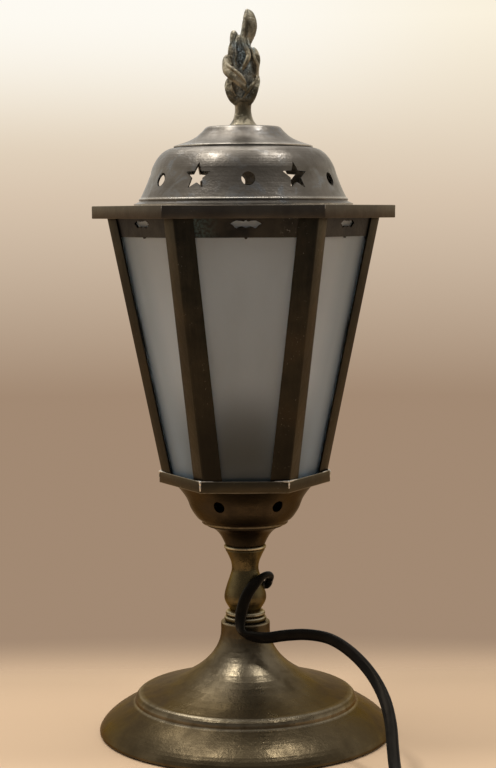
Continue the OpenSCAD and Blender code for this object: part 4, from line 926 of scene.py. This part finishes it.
def cast_flame():
    """The finial: its turned foot and neck under the tongues of the flame."""
    parts = []
    for section, broad, beads in TONGUES:
        route = smooth_route([b[:3] for b in beads], FLAME_STEPS)
        widths = smooth_route([(b[3], 0, 0) for b in beads], FLAME_STEPS)
        sizes = [max(w[0], THINNEST) for w in widths]
        rims = [[(x * size, y * size) for x, y in section] for size in sizes]
        parts.append(swept([p + FLAME_FOOT for p in route], [broad] * len(route), rims))
    flame = new_piece("flame_finial", parts)
    rings = [[(r * x, r * y) for x, y in ROUND_FINE] for r, z in TURNED]
    route = [Vector((0, 0, z)) + FLAME_FOOT for r, z in TURNED]
    up = (0, 0, 1)
    foot = new_piece("finial_foot", [swept(route, [(1, 0, 0)] * len(route), rings, up, up)])
    apply_modifier(flame, "REMESH", mode="VOXEL", voxel_size=FLAME_VOXEL)
    apply_modifier(flame, "SMOOTH", factor=0.5, iterations=2)
    foot.select_set(True)
    bpy.ops.object.join()
    bpy.ops.object.shade_smooth_by_angle(angle=math.radians(50))
    return flame


# ---------------------------------------------------------------- studio

# Lamps: name, place, the spot each points at, side in metres, watts and tint
LAMPS = (
    ("left lamp", (-0.55, -0.15, 1.45), (0, 0, 0.1), 0.18, 7.5, (1, 0.96, 0.90)),
    ("right lamp", (0.50, -0.10, 1.45), (0, 0, 0.1), 0.16, 5, (1, 0.97, 0.93)),
    ("broad lamp", (-0.2, 0.6, 1.5), (0, 0, 0.25), 1.0, 10, (1, 0.95, 0.88)),
)
# Backdrop and room by height of the line of sight, from straight down to straight up
ROOM_STOPS = [
    (-1.0, (0.60, 0.44, 0.30)),
    (-0.285, (0.66, 0.48, 0.31)),
    (-0.235, (0.36, 0.25, 0.17)),
    (-0.10, (0.36, 0.25, 0.17)),
    (0.01, (0.68, 0.55, 0.42)),
    (0.11, (0.96, 0.88, 0.72)),
    (0.35, (0.66, 0.60, 0.52)),
    (1.0, (0.50, 0.47, 0.44)),
]
# Pale glow on the backdrop, by line of sight: where it comes and goes, upwards and sideways
GLOW = (1.0, 0.98, 0.93)
GLOW_FOOT, GLOW_TOP = (0.03, 0.12), (0.25, 0.5)
GLOW_LEFT, GLOW_RIGHT = (-0.8, -0.3), (-0.02, 0.16)
# Dim side of the room in front of the lamp, and the lines of sight over which it ends
DIM_ROOM = (0.16, 0.15, 0.14)
DIM_EDGE = (-0.85, 0.05)
# The floor fades out behind the lamp, and in a ring round it, in metres
FLOOR_TONE = (0.68, 0.49, 0.32)
FLOOR_BACK, FLOOR_RING = (0.03, 0.21), (0.5, 1.1)


def light_studio():
    """Plain soft light: two small lamps overhead, a broad one at the back, and a quiet room."""
    bpy.context.scene.view_settings.view_transform = "Standard"
    for lamp in LAMPS:
        soft_lamp(*lamp)
    world = bpy.data.worlds.new("room")
    world.use_nodes = True
    bpy.context.scene.world = world
    room = Finish("room", world.node_tree)
    way = room.add("ShaderNodeTexCoord", output="Generated")
    x, y, z = room.axes(way)
    stops = [((height + 1) / 2, colour) for height, colour in ROOM_STOPS]
    colour = room.add("ShaderNodeValToRGB", {"stops": stops}, {"Fac": z * 0.5 + 0.5})
    glow = z.between(*GLOW_FOOT) * (1 - z.between(*GLOW_TOP))
    glow = glow * x.between(*GLOW_LEFT) * (1 - x.between(*GLOW_RIGHT))
    colour = room.mixed(glow * 0.8, colour, GLOW)
    # The metal mirrors the dim side, and a camera behind the lamp sees the pale backdrop there
    seen = room.add("ShaderNodeLightPath", output="Is Camera Ray")
    colour = room.mixed((1 - y.between(*DIM_EDGE)) * (1 - seen), colour, DIM_ROOM)
    light = room.add("ShaderNodeBackground", None, {"Color": colour, "Strength": 1.0})
    room.add("ShaderNodeOutputWorld", None, {"Surface": light})


def lay_floor():
    """A plain pale floor that fades into the backdrop."""
    bpy.ops.object.select_all(action="DESELECT")
    bpy.ops.mesh.primitive_plane_add(size=8)
    floor = bpy.context.active_object
    floor.name = "floor"
    finish = Finish("pale floor")
    place = finish.place()
    x, y = finish.axes(place)[:2]
    sockets = {"Base Color": FLOOR_TONE, "Roughness": 0.75}
    shader = finish.add("ShaderNodeBsdfPrincipled", None, sockets)
    clear = finish.add("ShaderNodeBsdfTransparent")
    fade = y.between(*FLOOR_BACK).maths("MAXIMUM", off_axis(x, y).between(*FLOOR_RING))
    both = finish.add("ShaderNodeMixShader", None, {0: fade, 1: shader, 2: clear})
    finish.add("ShaderNodeOutputMaterial", None, {"Surface": both})
    dress(floor, finish.material)


# ---------------------------------------------------------------- build

aim_camera()
light_studio()
lay_floor()

sheath = flex_sheath("flex sheath")
moulded = black_plastic("moulded black")

points, broad = lead_route()
route, broad = smooth_route(points, STEPS), smooth_route(broad, STEPS)
lead = lay_flex("flex_lead_sheath", route, broad, oval(7), HOLE_OUT, (0, -1, 0))
dress(lead, sheath)
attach(lead, "lamp")
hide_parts("flex_lead")
length_of(route)
[p * MM for p in route]

route, broad = stored_route()
stored = lay_flex("flex_stored_sheath", route, broad, oval(5), (0, -1, 0), (-1, 0, 0))
dress(stored, sheath)
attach(stored, "lamp")
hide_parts("flex_run", "flex_coil", "flex_tail")
length_of(route)
[p * MM for p in route]

# Warm brown that shows through the dark sheet of the frame
WARM = (0.062, 0.043, 0.027)
POSTS = tuple(f"corner_post_{i}" for i in range(1, 7))
FOLDED = ("lower_tray", "frame_head", "eaves") + POSTS
# How far the sharp edges of the folded sheet are rounded, in mm
EDGE_ROUND, EAVES_ROUND = 0.25, 0.4
# Solder at a folded rim, in mm: its corners' reach from the axis, its lowest and highest
# points, the radius of the beads and how far they run along the rim
TRAY_SOLDER = (47.4, 141.6, 147.0, 0.6, 8.5)
EAVES_SOLDER = (83.15, 290.2, 293.5, 0.22, 3)
FINISHES = {
    aged_brass(
        "base brass",
        tone=(0.132, 0.104, 0.062),
        deep=(0.052, 0.040, 0.023),
        worn_and_lit=(0.46, 0.41, 0.31),
        # Crests: lighter lines at the base's steps, partly wear and partly painted highlight; the
        # broad one at 42 mm is a painted highlight over the flare
        crests=(
            (62.0, 0.8, 0.6),
            (42.0, 17.0, 0.24),
            (22.2, 0.7, 0.5),
            (19.8, 2.2, 0.25),
            (17.4, 0.7, 0.5),
        ),
        dull=0.27,
        edge=(0.50, 0.40, 0.27),
    ): ("base_shell",),
    aged_brass(
        "cup brass",
        tone=(0.062, 0.046, 0.028),
        deep=(0.021, 0.016, 0.011),
        worn_and_lit=(0.34, 0.28, 0.18),
        # Crests: lighter rings, partly wear and partly painted highlight
        crests=((118.5, 0.8, 0.7), (119.4, 0.7, 0.3), (140.4, 0.6, 0.6)),
        dull=0.28,
        edge=(0.52, 0.45, 0.35),
    ): ("neck", "gallery_cup"),
    aged_brass(
        "stem brass",
        tone=(0.156, 0.122, 0.060),
        deep=(0.058, 0.045, 0.024),
        worn_and_lit=(0.66, 0.60, 0.45),
        # Crests: lighter lines on the beads' tops, partly wear and partly painted highlight
        crests=((104.6, 0.7, 0.9), (68.0, 0.6, 0.9), (67.0, 0.5, 0.6), (64.9, 0.5, 0.8)),
        dull=0.25,
        edge=(0.60, 0.48, 0.30),
    ): ("stem",),
    aged_brass(
        "roof brass",
        tone=(0.228, 0.210, 0.186),
        deep=(0.095, 0.085, 0.071),
        worn_and_lit=(0.66, 0.62, 0.55),
        # Crests: lighter bead lines, partly wear and partly painted highlight
        crests=((297.6, 0.9, 0.7), (294.2, 0.5, 0.8), (326.0, 0.7, 0.9), (335.9, 0.7, 0.3)),
        dull=0.28,
        bloom=(0.22, 0.24, 0.26),
    ): ("dome", "roof_cap"),
    folded_brass(
        "post brass",
        tone=(0.056, 0.048, 0.033),
        deep=(0.013, 0.012, 0.010),
        worn_and_lit=(0.40, 0.37, 0.32),
        warm=WARM,
        # Painted shade darkens the sheet towards its foot
        foot=0.7,
    ): ("pane_clips", "roof_lugs", "frame_head") + POSTS,
    folded_brass(
        "tray brass",
        tone=(0.076, 0.063, 0.041),
        deep=(0.040, 0.034, 0.023),
        worn_and_lit=(0.50, 0.46, 0.38),
        warm=WARM,
        # Crests: light lines along the tray's top and bottom edges, partly wear and partly painted
        # highlight
        crests=((147.0, 0.4, 0.9), (140.7, 0.4, 0.7)),
        streaky=0,
    ): ("lower_tray",),
    folded_brass(
        "eaves brass",
        tone=(0.100, 0.088, 0.074),
        deep=(0.047, 0.041, 0.036),
        worn_and_lit=(0.40, 0.37, 0.32),
        warm=(0.056, 0.057, 0.054),
        # Crests: light lines along the eaves' edges, partly wear and partly painted highlight
        crests=((293.7, 0.4, 0.4), (286.0, 0.4, 0.3)),
        streaky=0,
    ): ("eaves",),
    frieze_brass("frieze brass"): tuple(f"frieze_{i}" for i in range(1, 7)),
    etched_glass("etched glass"): tuple(f"glass_pane_{i}" for i in range(1, 7)),
    plain_metal("nut brass", (0.52, 0.40, 0.18), (0.24, 0.18, 0.09), 0.26): (
        "base_nut",
        "tray_nut",
        "roof_nut",
    ),
    threaded_metal("threaded steel", (0.56, 0.56, 0.54), 0.001): ("threaded_tube", "finial_stud"),
    plain_metal("holder brass", (0.22, 0.16, 0.08), (0.10, 0.075, 0.04), 0.32): ("holder_shell",),
    porcelain("glazed porcelain"): ("holder_insulator",),
    threaded_metal("contact brass", (0.68, 0.52, 0.24), 0.0028): ("holder_liner",),
    plain_metal("spring brass", (0.70, 0.54, 0.26), (0.40, 0.30, 0.15), 0.24): ("holder_contact",),
    threaded_metal("lamp cap tin", (0.70, 0.68, 0.64), 0.0028): ("lamp_cap",),
    clear_glass("bulb glass"): ("lamp_bulb",),
    plain_metal("lamp wire", (0.50, 0.50, 0.50), (0.25, 0.25, 0.26), 0.3): ("lamp_filament",),
    cast_iron("cast iron"): ("base_weight",),
    felt("green felt"): ("felt_pad",),
    moulded: ("cord_bush", "switch_base", "switch_cover", "plug_body"),
    black_plastic("rocker plastic", (0.020, 0.020, 0.021), 0.22): ("switch_rocker",),
    black_plastic("tie plastic", (0.016, 0.016, 0.017), 0.5): ("coil_tie",),
    plain_metal("plated screw", (0.56, 0.56, 0.55), (0.30, 0.30, 0.31), 0.3): ("switch_screws",),
    plain_metal("pin nickel", (0.70, 0.68, 0.64), (0.46, 0.44, 0.41), 0.16): ("plug_pins",),
    sheath: ("inner_flex",),
}
for material, names in FINISHES.items():
    for name in names:
        dress(NODES[name], material)

for name in FOLDED:
    softened(name, body_of(NODES[name])[0], EAVES_ROUND if name == "eaves" else EDGE_ROUND)

chance = random.Random(5)
solder = tin_solder("solder")
tray_runs = corner_runs(*TRAY_SOLDER, chance)
dress(solder_piece("tray_solder", "lamp", tray_runs), solder)
eaves_runs = corner_runs(*EAVES_SOLDER, chance)
dress(solder_piece("eaves_solder", "roof", eaves_runs), solder)

flame = cast_flame()
dress(flame, cast_brass("cast brass"))
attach(flame, "roof")
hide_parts("finial")
